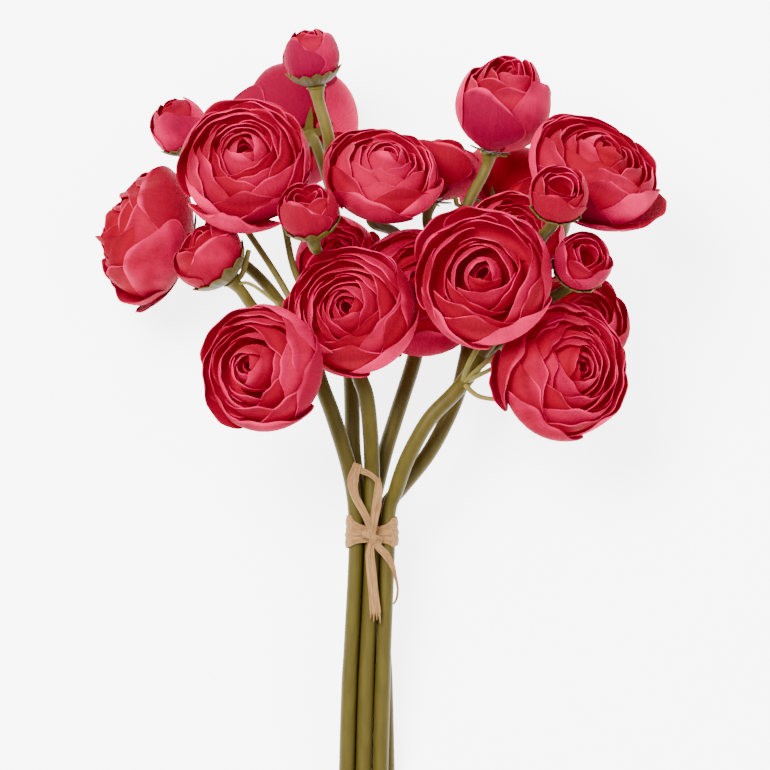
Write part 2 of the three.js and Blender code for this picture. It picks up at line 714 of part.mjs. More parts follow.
// The origin is under the middle of the bunch, on the ground.
const box = new THREE.Box3().setFromObject(bunch);
const centre = box.getCenter(V(0, 0, 0));
bunch.position.set(-centre.x, -centre.y, -box.min.z);

export default bunch;
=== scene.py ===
"""The looks of a tied bunch of fabric ranunculus that lies on its back.

Sizes are in millimetres in the bunch's own frame: x to the right, y along the
bunch from the cut ends to the heads, z towards the side the heads face. The
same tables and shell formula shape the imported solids. Points are turned into
the row frame, in metres, when a mesh is made.
"""

import math

import bpy
import numpy as np
from mathutils import Matrix, Vector


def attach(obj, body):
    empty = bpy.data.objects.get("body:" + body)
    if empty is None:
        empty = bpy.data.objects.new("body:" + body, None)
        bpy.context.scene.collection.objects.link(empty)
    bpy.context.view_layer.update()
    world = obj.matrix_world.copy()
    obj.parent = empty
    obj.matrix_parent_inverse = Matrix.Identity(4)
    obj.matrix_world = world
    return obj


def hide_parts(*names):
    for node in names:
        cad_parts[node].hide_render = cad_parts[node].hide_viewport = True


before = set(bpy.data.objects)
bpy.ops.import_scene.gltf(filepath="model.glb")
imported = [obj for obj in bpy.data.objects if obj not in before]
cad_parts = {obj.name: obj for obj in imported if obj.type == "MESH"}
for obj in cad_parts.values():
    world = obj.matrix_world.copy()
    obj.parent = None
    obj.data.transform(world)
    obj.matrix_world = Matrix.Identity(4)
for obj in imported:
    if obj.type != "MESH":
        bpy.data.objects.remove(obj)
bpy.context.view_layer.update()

LIE_TILT = math.radians(12.43)
SHARP_ANGLE = math.radians(55)  # faces that meet at more than this have a sharp edge
CLOTH = 0.36  # thickness of a petal
PRESSED = 0.8  # below this height a petal is pressed softly against the ground
STEM_RADIUS = 3.0
WAIST_RADIUS = 2.8
STEM_SIDES = 14
STALK_SIDES = 12
LEAF_SIDES = 10
CALYX_GAP = 0.1
CALYX_WALL = 0.5
TIE_GAP = 0.35
TIE_LOW = 102.8  # heights above the cut ends
TIE_MIDDLE = 108.6
TIE_HIGH = 114.6

# The heads: name, middle of the widest part, facing, radius, depth below and
# above the widest part, direction of the first outer petal. open: the direction
# in which the petals stand most open, and by how much. slide: how far the heart
# lies off the middle in that direction. shut: how much further all the petals of
# a globe-shaped bloom close in, in degrees. few: True for a bloom with fewer,
# wider petals. heart: how much further its innermost layers close in. skip: layers
# left out, so that a gap shows round the heart. wave: how far the rims ripple.
# pink: how pink the dye is. tone: how much more of the cloth has pale patches of paler dye
# and painted highlight.
# extra: loose outer petals (direction, tip angle, half width, stand-out, point).
BLOOMS = [
    dict(name="bloom_01", at=(-90.5, 221, -18), facing=(-0.95, 0.2, 0.2),
         radius=26, under=16, over=20, turn=40, open=(150, 0.3), shut=5,
         pink=0.1, tone=-0.5, wave=1.2, extra=[(262, 84, 30, 1.6, 0.8)]),
    dict(name="bloom_02", at=(-52.5, 248, 18), facing=(-0.05, 0.3, 0.95),
         radius=24.5, under=14, over=12, turn=20, open=(95, 0.8), slide=2.5, heart=12,
         pink=0.35, extra=[(258, 122, 44, 3.0, 0.6)]),
    dict(name="bloom_03", at=(-35.5, 265.5, -47.25), facing=(-0.35, 0.35, -0.87),
         radius=25.5, under=15, over=16, turn=75, open=(90, 0.2), pink=0.6),
    dict(name="bloom_04", at=(-1, 244, 16), facing=(0.15, 0.68, 0.72),
         radius=22.5, under=13, over=12, turn=250, open=(60, 0.5), slide=2, heart=10,
         pink=0.25, tone=0.15),
    dict(name="bloom_05", at=(18.7, 248, -17), facing=(0.1, 0.9, -0.2),
         radius=17.5, under=13, over=14, turn=15, open=(90, 0.3),
         shut=2, few=True, pink=0.1, tone=-0.2, wave=1.5),
    dict(name="bloom_06", at=(44.6, 270, -3), facing=(0.25, 0.92, 0.25),
         radius=17.4, under=17, over=21, turn=200, open=(198, 1.4), slide=1,
         shut=16, few=True, pink=0.7, extra=[(50, 124, 36, 1.4, 0.1)]),
    dict(name="bloom_07", at=(79, 246.5, 17), facing=(0.38, 0.66, 0.65),
         radius=25.5, under=17, over=12, turn=150, open=(60, 0.8), slide=2, heart=10,
         pink=0.35, wave=0.7,
         extra=[(318, 82, 36, 4.5, 0.2), (268, 84, 36, 3.4, 0.2)]),
    dict(name="bloom_08", at=(48, 238.5, -44), facing=(0.35, 0.45, -0.82),
         radius=20.5, under=14, over=14, turn=30, open=(90, 0.2), tone=-0.35),
    dict(name="bloom_09", at=(37, 203.5, 40), facing=(-0.05, 0.05, 1),
         radius=25.5, under=14, over=12, turn=230, open=(105, 0.9), slide=2, heart=6,
         skip=(3, 6), pink=0.1, extra=[(128, 94, 36, 2.4, 0.1)]),
    dict(name="bloom_10", at=(-12, 191.5, 28), facing=(-0.12, 0.1, 0.98),
         radius=24, under=14, over=12, turn=310, open=(140, 1.0), slide=2,
         extra=[(185, 92, 26, 2.2, 0.2)]),
    dict(name="bloom_11", at=(-45.5, 170, 48), facing=(-0.3, 0, 0.93),
         radius=23.5, under=14, over=12, turn=345, open=(165, 0.9), slide=4, pink=0.4,
         tone=0.12, heart=4, skip=(5,)),
    dict(name="bloom_12", at=(67, 169.5, 20), facing=(0.4, 0.03, 0.89),
         radius=26, under=14, over=12, turn=170, open=(20, 0.8), slide=5, wave=0.8,
         extra=[(188, 80, 28, 2.6, 0.3)]),
    dict(name="bloom_13", at=(13, 199.5, -1), facing=(0, 0.1, 0.98),
         radius=24.5, under=13, over=11, turn=285, open=(90, 0.6), slide=1,
         shut=12, few=True),
    dict(name="bloom_14", at=(-18, 213.5, -17), facing=(0, 0.3, 0.95),
         radius=15.5, under=11, over=10, turn=160, open=(60, 0.5), shut=12,
         few=True),
    dict(name="bloom_15", at=(49.5, 220.5, 4), facing=(0.1, 0.5, 0.86),
         radius=18.5, under=12, over=11, turn=100, open=(90, 0.5), shut=12,
         few=True),
    dict(name="bloom_16", at=(74.5, 188.5, -12), facing=(0.35, 0.35, 0.87),
         radius=19.5, under=12, over=11, turn=60, open=(60, 0.5), shut=12,
         few=True),
]
# What a row of BLOOMS leaves out.
PLAIN_BLOOM = dict(slide=0, shut=0, few=False, heart=0, skip=(), pink=0, tone=0, extra=())
# tip: the tip angle of a bud's outer petals. hole: how open its middle is.
BUDS = [
    dict(name="bud_1", at=(-28, 289, -4), facing=(-0.16, 0.96, 0.2),
         radius=10.6, under=10, over=12, turn=20, tip=138, hole=0.1, pink=0.8),
    dict(name="bud_2", at=(-78.5, 263, -14), facing=(-0.45, 0.85, 0.25),
         radius=10.6, under=10, over=12, turn=80, tip=138, hole=0.1, pink=0.7),
    dict(name="bud_3", at=(-28.5, 229, 38), facing=(-0.15, 0.85, 0.5),
         radius=11, under=10, over=12, turn=140, tip=130, hole=0.7, pink=0.2, tone=-0.4),
    dict(name="bud_4", at=(-67, 213.5, 12), facing=(-0.6, 0.65, 0.3),
         radius=13.4, under=12, over=13, turn=230, tip=126, hole=0.3, pink=0.2, tone=-0.4),
    dict(name="bud_5", at=(64.5, 235, 52), facing=(0.1, 0.6, 0.79),
         radius=10.8, under=10, over=11, turn=10, tip=130, hole=0.8, pink=0.1, tone=-0.2),
    dict(name="bud_6", at=(74, 210.5, 34), facing=(0.25, 0.5, 0.83),
         radius=10.8, under=10, over=11, turn=300, tip=126, hole=0.5, pink=0.5, tone=-0.1),
]

# A bloom's layers, from the outside in: petals, share of the radius, share of
# over, claw, shoulder and tip angles, what is added to the tip angle on the
# closed side, half width, turn of the first petal.
LAYERS = [
    (5, 1.00, 1.00, 12, 50, 99, 25, 46, 0),
    (5, 0.91, 1.04, 13, 54, 102, 34, 46, 38),
    (4, 0.81, 1.10, 14, 58, 104, 38, 58, 20),
    (4, 0.69, 1.13, 15, 62, 108, 33, 60, 65),
    (4, 0.57, 1.15, 18, 66, 112, 26, 62, 12),
    (3, 0.46, 1.13, 22, 72, 118, 28, 80, 50),
    (3, 0.37, 1.11, 28, 78, 124, 40, 88, 110),
    (3, 0.27, 0.98, 32, 82, 128, 38, 90, 30),
    (2, 0.16, 0.84, 36, 84, 142, 10, 108, 100),
]
FEW_LAYERS = [
    (4, 1.00, 1.00, 12, 50, 101, 24, 60, 0),
    (4, 0.87, 1.05, 13, 56, 105, 30, 60, 45),
    (3, 0.72, 1.04, 15, 62, 110, 28, 76, 20),
    (3, 0.56, 0.98, 20, 68, 118, 20, 80, 70),
    (3, 0.40, 0.90, 26, 76, 130, 24, 84, 10),
    (2, 0.22, 0.80, 34, 84, 144, 12, 106, 60),
]

STEMS = [
    dict(name="stem_1",
         route=[(-15, 0, 3.1), (-13.6, 50, 3.3), (-11.2, 98, 3.6),
                (-11.3, 116, 3.6), (-13.5, 132, 4), (-19.5, 152, 5),
                (-24.5, 165.5, 4), (-28, 177.5, 0)],
         stalks=[("bloom_11", 2.2, [(-36, 176.5, 16)], 7),
                 ("bud_4", 2.2, [(-37.5, 182, -1), (-49, 192.5, 2)], 7),
                 ("bloom_01", 2.2, [(-39.5, 195, -11), (-52, 209, -20)], 11),
                 ("bud_2", 1.3, [(-37, 198.5, -8), (-51.5, 221.5, -12),
                                 (-64, 239, -18)], 9)],
         tags=[[(-58.5, 202, 6), (-54, 206.5, 8.5), (-51.5, 215.5, 9)],
               [(-58.5, 202, 6), (-51, 202.5, 10), (-40, 194.5, 12)]]),
    dict(name="stem_2",
         route=[(-11.9, 0, -2.8), (-10.2, 50, -2.6), (-8.5, 98, -1.9),
                (-8.8, 116, -1.8), (-12, 137.5, -3), (-12.5, 153, -6),
                (-13, 167, -9), (-14.5, 181.5, -12)],
         stalks=[("bloom_02", 1.3, [(-33, 204, -12), (-40, 230, -10)], 10),
                 ("bloom_03", 2.0, [(-20.5, 201, -38), (-19, 229, -31.5)], 10),
                 ("bud_1", 2.3, [(-18, 205, -38), (-22, 222.5, -37),
                                 (-21, 241, -20), (-21.5, 258, -9)], 7),
                 ("bloom_14", 2.0, [(-16, 192.5, -28)], 9)]),
    dict(name="stem_3",
         route=[(-8.6, 0, 3.2), (-7.2, 50, 3.7), (-5.1, 98, 4.1),
                (-5.1, 116, 4.2), (-5, 132, 4), (-5.5, 145.5, 7),
                (-7, 159.5, 8), (-9.5, 167, 7), (-12, 174.5, 3)],
         stalks=[("bloom_10", 2.2, [(-16, 181, 2)], 7),
                 ("bud_3", 2.0, [(-21, 192, 4), (-24.5, 212, 14)], 5)]),
    dict(name="stem_4",
         route=[(-5.4, 0, -5.6), (-5.2, 50, -6.6), (-5.1, 98, -7.4),
                (-4.8, 116, -7.6), (-0.5, 136.5, -6.6), (4.5, 153, -10),
                (10, 170, -14), (12.5, 179.5, -16)],
         stalks=[("bloom_04", 2.1, [(7.5, 217.5, -18)], 12),
                 ("bloom_05", 2.0, [(21, 210.5, -18)], 9),
                 ("bloom_13", 2.1, [(13, 187.5, -25)], 8)]),
    dict(name="stem_5",
         route=[(-2.2, 0, 3.1), (-0.9, 50, 3.5), (0.9, 98, 3.8),
                (1.4, 116, 4.1), (4, 124, 5.5), (8.5, 136.5, 8),
                (16.5, 151, 10), (25.5, 160.5, 9), (31.5, 167.5, 6),
                (37.5, 177, 0)],
         stalks=[("bloom_09", 2.2, [(43.5, 188, 2)], 10),
                 ("bloom_12", 2.2, [(48.5, 174, -5)], 10),
                 ("bloom_16", 2.0, [(48, 177, -20), (58.5, 176, -33)], 9),
                 ("bud_6", 2.0, [(51, 186, 4), (61.5, 196, 12)], 8),
                 ("bud_5", 2.2, [(45.5, 188, 8), (51.5, 205.5, 19),
                                 (58, 218.5, 25)], 7)],
         tags=[[(29.5, 165, 9), (31.5, 172, 15), (36.5, 181, 17)],
               [(29.5, 165, 9), (36, 171, 15.5), (42, 176, 17)],
               [(29.5, 165, 9), (36.5, 168.5, 14.5), (42.5, 171.5, 15)],
               [(29.5, 165, 9), (35.5, 160, 14.5), (45.5, 158.5, 16)]]),
    dict(name="stem_6",
         route=[(1.1, 0, -2.8), (0, 50, -2.9), (-1.8, 98, -2.2),
                (-0.7, 116, -2.2), (6, 125, -2), (16, 137.5, -3.5),
                (23, 150, -4.5), (28, 162, -8), (31, 174, -12),
                (32.5, 181.5, -15)],
         stalks=[("bloom_06", 2.1, [(31, 197, -24), (27.5, 216, -19),
                                    (30.5, 231, -7)], 8),
                 ("bloom_07", 2.2, [(58, 208.5, -19), (67.5, 222, -12)], 8),
                 ("bloom_08", 2.0, [(34, 209.5, -22)], 12),
                 ("bloom_15", 2.0, [(43.5, 200.5, -18)], 10)],
         tags=[[(29.5, 232.5, -9), (27.5, 233, -5), (26.8, 235.5, -2.5)]]),
]


def scatter(seed, k):
    """Repeatable scatter between -1 and 1 for item k of a head."""
    wave = math.sin(seed * 12.9898 + k * 78.233) * 43758.5453
    return 2 * (wave - math.floor(wave)) - 1


# The bunch's frame and the row frame.
COS, SIN = math.cos(LIE_TILT), math.sin(LIE_TILT)
END_DEPTH = 0.6  # the solid's points this close to its lowest are its cut end


def frame_shift():
    """How far the bunch's frame is shifted, read from stem_1's cut end."""
    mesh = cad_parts["stem_1"].data
    co = np.zeros(len(mesh.vertices) * 3)
    mesh.vertices.foreach_get("co", co)
    x, y, z = 1000 * co.reshape(-1, 3).T
    back = np.stack([x, y * COS + z * SIN, z * COS - y * SIN], 1)
    end = back[back[:, 1] < back[:, 1].min() + END_DEPTH]
    end = np.unique(np.round(end, 2), axis=0)
    return end.mean(0) - np.array(STEMS[0]["route"][0])


SHIFT = frame_shift()


def to_row(points):
    """Points of the bunch, in millimetres, in the row frame, in metres."""
    x, y, z = (np.asarray(points, float).reshape(-1, 3) + SHIFT).T
    return 0.001 * np.stack([x, y * COS - z * SIN, y * SIN + z * COS], 1)


def pressed(points):
    """Row points, with what would reach the ground eased just above it."""
    low = PRESSED * 0.001
    z = points[:, 2]
    points[:, 2] = np.where(z < low, low * np.exp((z - low) / low), z)
    return points


class Build:
    """Collects the vertices, faces and per-vertex numbers of one piece.

    marks: place across and along, tone, 1 on the outside. looks: how near the
    heart a petal is, which lifts its colour with painted light; how deep a spot
    lies behind a rim, which sets the painted glow and painted shade; and how pink
    the dye is, with values below 0 giving painted shade in the heart.
    """

    def __init__(self):
        self.points, self.quads, self.tris, self.marks, self.looks = [], [], [], [], []
        self.count = 0

    def add(self, points, quads=(), tris=(), marks=(0, 0, 0, 0), looks=(0, 0, 0)):
        points = np.asarray(points, float).reshape(-1, 3)
        self.points.append(points)
        for store, rows, size in ((self.marks, marks, 4), (self.looks, looks, 3)):
            rows = np.asarray(rows, float).reshape(-1, size)
            store.append(np.broadcast_to(rows, (len(points), size)))
        for store, faces, size in ((self.quads, quads, 4), (self.tris, tris, 3)):
            if len(faces):
                store.append(np.asarray(faces, int).reshape(-1, size) + self.count)
        self.count += len(points)

    def piece(self, name, node, material):
        row = pressed(to_row(np.concatenate(self.points)))
        quads = np.concatenate(self.quads)
        tris = np.concatenate(self.tris) if self.tris else np.zeros((0, 3), int)
        loops = np.concatenate([quads.ravel(), tris.ravel()])
        sizes = [4] * len(quads) + [3] * len(tris)
        starts = np.concatenate([[0], np.cumsum(sizes)[:-1]])
        mesh = bpy.data.meshes.new(name)
        mesh.vertices.add(len(row))
        mesh.vertices.foreach_set("co", row.ravel())
        mesh.loops.add(len(loops))
        mesh.loops.foreach_set("vertex_index", loops)
        mesh.polygons.add(len(sizes))
        mesh.polygons.foreach_set("loop_start", starts)
        mesh.update(calc_edges=True)
        mark = mesh.attributes.new("marks", "FLOAT_COLOR", "POINT")
        mark.data.foreach_set("color", np.concatenate(self.marks).ravel())
        looks = mesh.attributes.new("looks", "FLOAT_VECTOR", "POINT")
        looks.data.foreach_set("vector", np.concatenate(self.looks).ravel())
        mesh.shade_smooth()
        mesh.set_sharp_from_angle(angle=SHARP_ANGLE)
        if mesh.validate():
            print("mended faces in", name)
        mesh.materials.append(material)
        obj = bpy.data.objects.new(name, mesh)
        bpy.context.scene.collection.objects.link(obj)
        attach(obj, "root")
        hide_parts(node)


def unit(v):
    v = np.asarray(v, float)
    return v / np.linalg.norm(v)


def axes_of(head):
    out = unit(head["facing"])
    across = unit(np.cross((0, 1, 0), out))
    return across, np.cross(out, across), out, np.array(head["at"], float)


def placed(axes, distance, turn, height):
    """Points at a distance from a head's axis, a direction round it and a height."""
    across, up, out, at = axes
    distance, turn, height = np.broadcast_arrays(distance, turn, height)
    return (at + (distance * np.cos(turn))[..., None] * across
            + (distance * np.sin(turn))[..., None] * up
            + height[..., None] * out)


def layered(like, *values):
    """One row of numbers for each spot of a grid."""
    return np.stack([np.broadcast_to(v, like.shape) for v in values], -1)


def fan(middle, i, j):
    return np.stack([np.full(len(i), middle), i, j], 1)


def tube(count, around):
    """The quads between rings of points, and the tris from two points after them
    to the first and the last ring."""
    i = np.arange(around)
    j = (i + 1) % around
    row = np.arange(count - 1)[:, None] * around
    quads = np.stack([row + i, row + j, row + around + j, row + around + i], -1)
    end = count * around
    top = end - around
    tris = np.concatenate([fan(end, j, i), fan(end + 1, top + i, top + j)])
    return quads.reshape(-1, 4), tris


def shell(build, outer, inner, marks, looks=None):
    """A closed blade from two grids of points, rows first, outer facing out."""
    rows, cols = outer.shape[:2]
    n = rows * cols
    index = np.arange(n).reshape(rows, cols)
    a, b = index[:-1, :-1].ravel(), index[:-1, 1:].ravel()
    c, d = index[1:, 1:].ravel(), index[1:, :-1].ravel()
    over = np.stack([a, b, c, d], 1)
    back = over[:, ::-1] + n
    loop = np.concatenate([index[0, :-1], index[:-1, -1], index[-1, :0:-1], index[:0:-1, 0]])
    ahead = np.roll(loop, -1)
    rim = np.stack([ahead, loop, loop + n, ahead + n], 1)
    build.add(np.concatenate([outer, inner]), np.concatenate([over, back, rim]),
              marks=np.concatenate([marks(1.0), marks(0.0)]),
              looks=np.concatenate([looks(1.0), looks(0.0)]) if looks else (0, 0, 0))


SHOULDER_AT = 0.3  # how far up from the claw a petal's shoulder is
SHOULDER_WIDTH = 0.8  # as shares of the petal's half width
CLAW_WIDTH = 0.45
EDGE_CROWDING = 1.25  # how much closer the cells stand near a petal's edges
TIP_CROWDING = 0.92
LAST_ANGLE = 176  # no spot of a petal lies further round the shell than this
RIM_FADE = 9  # degrees from the rim of the layer round it to the full painted glow
OWN_FADE = 16  # and from the petal's own rim
IN_THE_OPEN = -3.0  # a spot far from all rims
CORE_MARKS = (0.5, 0.9, 0.5, 0)
# the hidden core gets full painted shade and some painted glow
CORE_LOOKS = (0.5, 0.4, -1)
WIDE_CELLS = (16, 14)  # cells across and along a petal
FINE_CELLS = (14, 12)
LAST_TIP = 162  # the highest tip angle that a bloom's petal is given
HEART_SHARE = 0.4  # layers inside this share of the radius are the heart
SUNK_HEART = 0.6  # how high the middle stands where layers are left out


def petal(build, head, axes, shape, cells):
    """A thin cloth blade bent over an egg-shaped shell, from claw to tip."""
    nu, nv = cells
    u = np.sin(np.linspace(-1, 1, nu + 1) * EDGE_CROWDING) / math.sin(EDGE_CROWDING)
    w = np.linspace(0, 1, nv + 1) ** TIP_CROWDING
    u, w = np.meshgrid(u, w)
    v = np.clip((w - SHOULDER_AT) / (1 - SHOULDER_AT), 0, 1)
    low = np.clip(w / SHOULDER_AT, 0, 1)
    claw = shape.get("claw", CLAW_WIDTH)
    narrow = (0.06 + 0.6 * shape["point"]) * v ** 3
    width = np.where(w < SHOULDER_AT, claw + (SHOULDER_WIDTH - claw) * low ** 1.15,
                     SHOULDER_WIDTH + 0.9 * v * (1 - v) - narrow)
    phase = shape["phase"]
    turn = np.radians(shape["turn"] + u * shape["half"] * width)
    droop = 0.26 * np.abs(u) ** 2.6 + 0.02 * np.sin(4.2 * u + 2 * phase) * v
    reach = shape["tip"] - shape["shoulder"] - shape["skew"] * u
    climb = reach * v * (1 - droop)
    climb = climb + 3.0 * shape["point"] * v ** 6 * (1 - np.abs(u)) ** 2
    angle = np.where(w < SHOULDER_AT,
                     shape["root"] + (shape["shoulder"] - shape["root"]) * low,
                     shape["shoulder"] + climb)
    angle = np.radians(np.minimum(angle, LAST_ANGLE))
    wave = shape["wave"]
    ripple = wave * v ** 2 * np.sin(3.1 * u + phase)
    ripple = ripple + 0.55 * wave * v ** 4 * np.sin(7.3 * u + 1.7 * phase)
    ripple = ripple + 0.3 * wave * np.sin(4 * v + phase) * np.cos(1.3 * u)
    ripple = ripple + shape["lean"] * v ** 2.2
    ripple = ripple + shape["curl"] * v ** 9
    tuck = shape["step"] * u * np.clip(0.35 + v, 0, 1)
    radius = head["radius"] * shape["radius"]
    deep = np.where(np.cos(angle) > 0, head["under"] * shape["radius"],
                    head["over"] * shape["over"])

    def face(lift):
        out = radius + shape["out"] + tuck + ripple + lift
        spot = placed(axes, out * np.sin(angle), turn, -(deep + lift) * np.cos(angle))
        return spot + shape.get("shift", 0)

    # bare moves the place along an outer petal's outside towards its tip, so that this open
    # face gets no painted light at the claw.
    bare = shape.get("bare", 0)

    def marks(side):
        depth = w + side * bare * (1 - w)
        return layered(u, (u + 1) / 2, depth, shape["tone"], side)

    # How deep a spot lies behind the rims of the layer round it, or behind the
    # petal's own rim. Above 0 the spot gets a painted glow, an emission that stands
    # in for light through the cloth. Below 0 the outside gets painted shade that
    # deepens towards 0, where it goes out of sight.
    degrees = np.degrees(angle)
    hidden = np.full_like(degrees, IN_THE_OPEN)
    if "cover" in shape:
        rim, close, much, way = shape["cover"]
        edge = rim + close * (1 - much * np.cos(turn - math.radians(way))) / 2
        hidden = np.clip((edge - degrees - 0.5) / RIM_FADE, IN_THE_OPEN, 1)
    own = np.clip((shape["tip"] - degrees - 2) / OWN_FADE, 0, 1)

    # The painted glow: on the outside behind a covering rim, on the inside below the petal's
    # own rim.
    def looks(side):
        painted_glow = hidden if side else 0.5 * own
        return layered(u, shape["inner"], painted_glow, shape["dye_and_heart_shade"])

    shell(build, face(CLOTH / 2), face(-CLOTH / 2), marks, looks)


def turned(build, axes, profile, around):
    """A closed core round a head's axis, from a list of (distance, height)."""
    rings = profile[1:-1]
    turn = np.linspace(0, 2 * math.pi, around, endpoint=False)
    points = [placed(axes, r, turn, h) for r, h in rings]
    points += [placed(axes, 0, 0, h)[None] for _, h in (profile[0], profile[-1])]
    build.add(np.concatenate(points), *tube(len(rings), around), CORE_MARKS, CORE_LOOKS)


def bloom(head, seed, material):
    head = PLAIN_BLOOM | head
    axes = axes_of(head)
    radius, under, over = head["radius"], head["under"], head["over"]
    build = Build()
    turned(build, axes, [
        (0, -under + 0.4),
        (radius * 0.3, -under * 0.93 + 0.4),
        (radius * 0.58, -under * 0.7),
        (radius * 0.5, -under * 0.2),
        (radius * 0.24, -under * 0.15),
        (radius * 0.08, -under * 0.2),
        (0, -under * 0.2),
    ], 24)
    way, much = head["open"]
    aside = math.cos(math.radians(way)) * axes[0] + math.sin(math.radians(way)) * axes[1]
    shut, few = head["shut"], head["few"]
    layers = FEW_LAYERS if few else LAYERS
    cover = {}
    for depth, layer in enumerate(layers):
        count, share, high, root, shoulder, tip, close, half, first = layer
        if share < HEART_SHARE:
            tip += head["heart"]
        if depth in head["skip"]:
            continue
        if head["skip"] and depth == len(layers) - 1:
            high *= SUNK_HEART
        for k in range(count):
            key = depth * 10 + k
            turn = head["turn"] + first + 360 * k / count + 5 * scatter(seed, key)
            lean = much * math.cos(math.radians(turn - way))
            loose = min(1.0, share + 0.1)
            petal(build, head, axes, dict(
                radius=share * (1 + 0.014 * scatter(seed, key + 160)),
                over=high, root=root, shoulder=shoulder,
                tip=min(tip + close * (1 - lean) / 2 + shut
                        + 5 * scatter(seed, key + 40), LAST_TIP),
                half=half + 3 * scatter(seed, key + 80), skew=5 * loose,
                step=1.15 * loose, out=0,
                wave=head.get("wave", 0.9 if few else 0.5) * loose,
                phase=3 * scatter(seed, key + 120),
                point=(0.02 if few else 0.1) + 0.1 * scatter(seed, key + 200),
                lean=(0.9 * lean + 0.35 * scatter(seed, key + 240)) * loose,
                curl=0.7 * scatter(seed, key + 280) * loose, turn=turn,
                shift=aside * head["slide"] * (1 - share),
                bare=0.7 if depth == 0 else 0,
                tone=0.5 + head["tone"] + 0.5 * scatter(seed, key + 320),
                # The innermost layer gets painted shade, the others their pink dye.
                dye_and_heart_shade=head["pink"] if depth < len(layers) - 1 else -0.5,
                inner=depth / (len(layers) - 1), **cover,
            ), WIDE_CELLS if depth < 4 else FINE_CELLS)
        cover = dict(cover=(tip + shut, close, much, way))
    for k, (turn, tip, half, out, point) in enumerate(head["extra"]):
        petal(build, head, axes, dict(
            radius=1.0, over=1.0, root=12, shoulder=50, tip=tip, half=half,
            turn=turn, out=out, point=point, step=0.4, wave=0.5, phase=1.0, skew=0,
            lean=0.8 if tip < 110 else -0.3, curl=0.6, inner=0,
            tone=0.75 + head["tone"] + 0.25 * scatter(seed, k + 400),
            dye_and_heart_shade=head["pink"], bare=0.7), WIDE_CELLS)
    build.piece(head["name"] + "_petals", head["name"], material)


def bud(head, seed, material):
    axes = axes_of(head)
    radius, under, over = head["radius"], head["under"], head["over"]
    build = Build()
    turned(build, axes, [
        (0, -under + 0.5),
        (radius * 0.45, -under * 0.85 + 0.4),
        (radius * 0.7, -under * 0.45),
        (radius * 0.72, 0),
        (radius * 0.4, 0),
        (radius * 0.1, 0),
        (0, 0),
    ], 20)
    hole = head["hole"]
    rows = [
        (3, 1.0, 1.0, 14, 60, head["tip"], 78, 0, 0.45),
        (3, 0.88, 1.0, 18, 64, head["tip"] + 8 - 14 * hole, 78, 62, 0.35),
        (3, 0.71, 0.98, 24, 70, head["tip"] + 16 - 26 * hole, 80, 20, 0.3),
        (2, 0.47, 0.92, 34, 78, head["tip"] + 20 - 34 * hole, 106, 60, 0.1),
    ]
    cover = {}
    for depth, row in enumerate(rows):
        count, share, high, root, shoulder, tip, half, first, point = row
        for k in range(count):
            key = depth * 10 + k
            petal(build, head, axes, dict(
                radius=share, over=high, root=root, shoulder=shoulder,
                tip=tip + 6 * scatter(seed, key + 40),
                half=half, step=0.5, out=0, wave=0.15, phase=k + 1.3 * depth,
                point=point, lean=0.15 * scatter(seed, key + 60), skew=5,
                curl=0.5 * abs(scatter(seed, key + 90)), claw=0.6,
                turn=head["turn"] + first + 360 * k / count + 6 * scatter(seed, key),
                bare=0.7 if depth == 0 else 0,
                tone=0.4 + head.get("tone", 0) + 0.4 * scatter(seed, key + 320),
                inner=0.12 * depth,
                # The deeper rows of an open bud get painted shade, the outer ones their pink
                # dye.
                dye_and_heart_shade=head["pink"] if depth < 2 else -0.2 * depth * hole,
                **cover), FINE_CELLS)
        cover = dict(cover=(tip - 4, 0, 0, 0))
    build.piece(head["name"] + "_petals", head["name"], material)


# Stems.
def smooth_route(points, before=None, after=None, steps=10):
    """A smooth curve through points, straight on at its ends if nothing is given."""
    points = [np.array(p, float) for p in points]
    before = 2 * points[0] - points[1] if before is None else before
    after = 2 * points[-1] - points[-2] if after is None else after
    points = [before, *points, after]
    route = []
    for i in range(1, len(points) - 2):
        a, b, c, d = points[i - 1:i + 3]
        for s in range(steps):
            t = s / steps
            route.append(0.5 * (2 * b + (c - a) * t + (2 * a - 5 * b + 4 * c - d) * t * t
                                + (3 * b - a - 3 * c + d) * t * t * t))
    route.append(points[-2])
    return np.array(route)


def directions(line):
    """The way a curve runs at each of its points."""
    along = np.concatenate([line[1:], line[-1:]]) - np.concatenate([line[:1], line[:-1]])
    return along / np.linalg.norm(along, axis=1)[:, None]


END_WIDTH = 0.8  # of a rod's rounded ends, as shares of its radius
END_LENGTH = 0.25


def rod(build, route, sides, radii, marks, flat=1.0):
    """A closed rod along a route, with rounded ends."""
    route = np.asarray(route)
    along = directions(route)
    side = np.array([1.0, 0, 0]) if abs(along[0][0]) < 0.8 else np.array([0, 0, 1.0])
    rings = []
    turn = 2 * math.pi * np.arange(sides) / sides
    for k, (p, way, r) in enumerate(zip(route, along, radii)):
        side = unit(side - way * side.dot(way))
        other = np.cross(way, side)
        ring = (np.cos(turn)[:, None] * side + flat * np.sin(turn)[:, None] * other)
        if k == 0:
            rings += [p + END_WIDTH * r * ring, p + way * END_LENGTH * r + r * ring]
        elif k == len(route) - 1:
            rings += [p - way * END_LENGTH * r + r * ring, p + END_WIDTH * r * ring]
        else:
            rings.append(p + r * ring)
    points = np.concatenate([*rings, route[:1], route[-1:]])
    build.add(points, *tube(len(rings), sides), marks)


CALYX_PALE = 0.25  # how pale the plastic is, from 0 to 1
CUT_PALE = 0.55
END_MARKS = (0, 0.6, 0.5, 1)
LEAF_MARKS = (0.5, 0.85, 0.5, 1)
FORK_MARKS = (0.5, 0.3, 0.5, 1)


def underside(head, angle, grow):
    return ((head["radius"] + 0.5 + grow) * np.sin(angle),
            -(head["under"] + 0.5 + grow) * np.cos(angle))


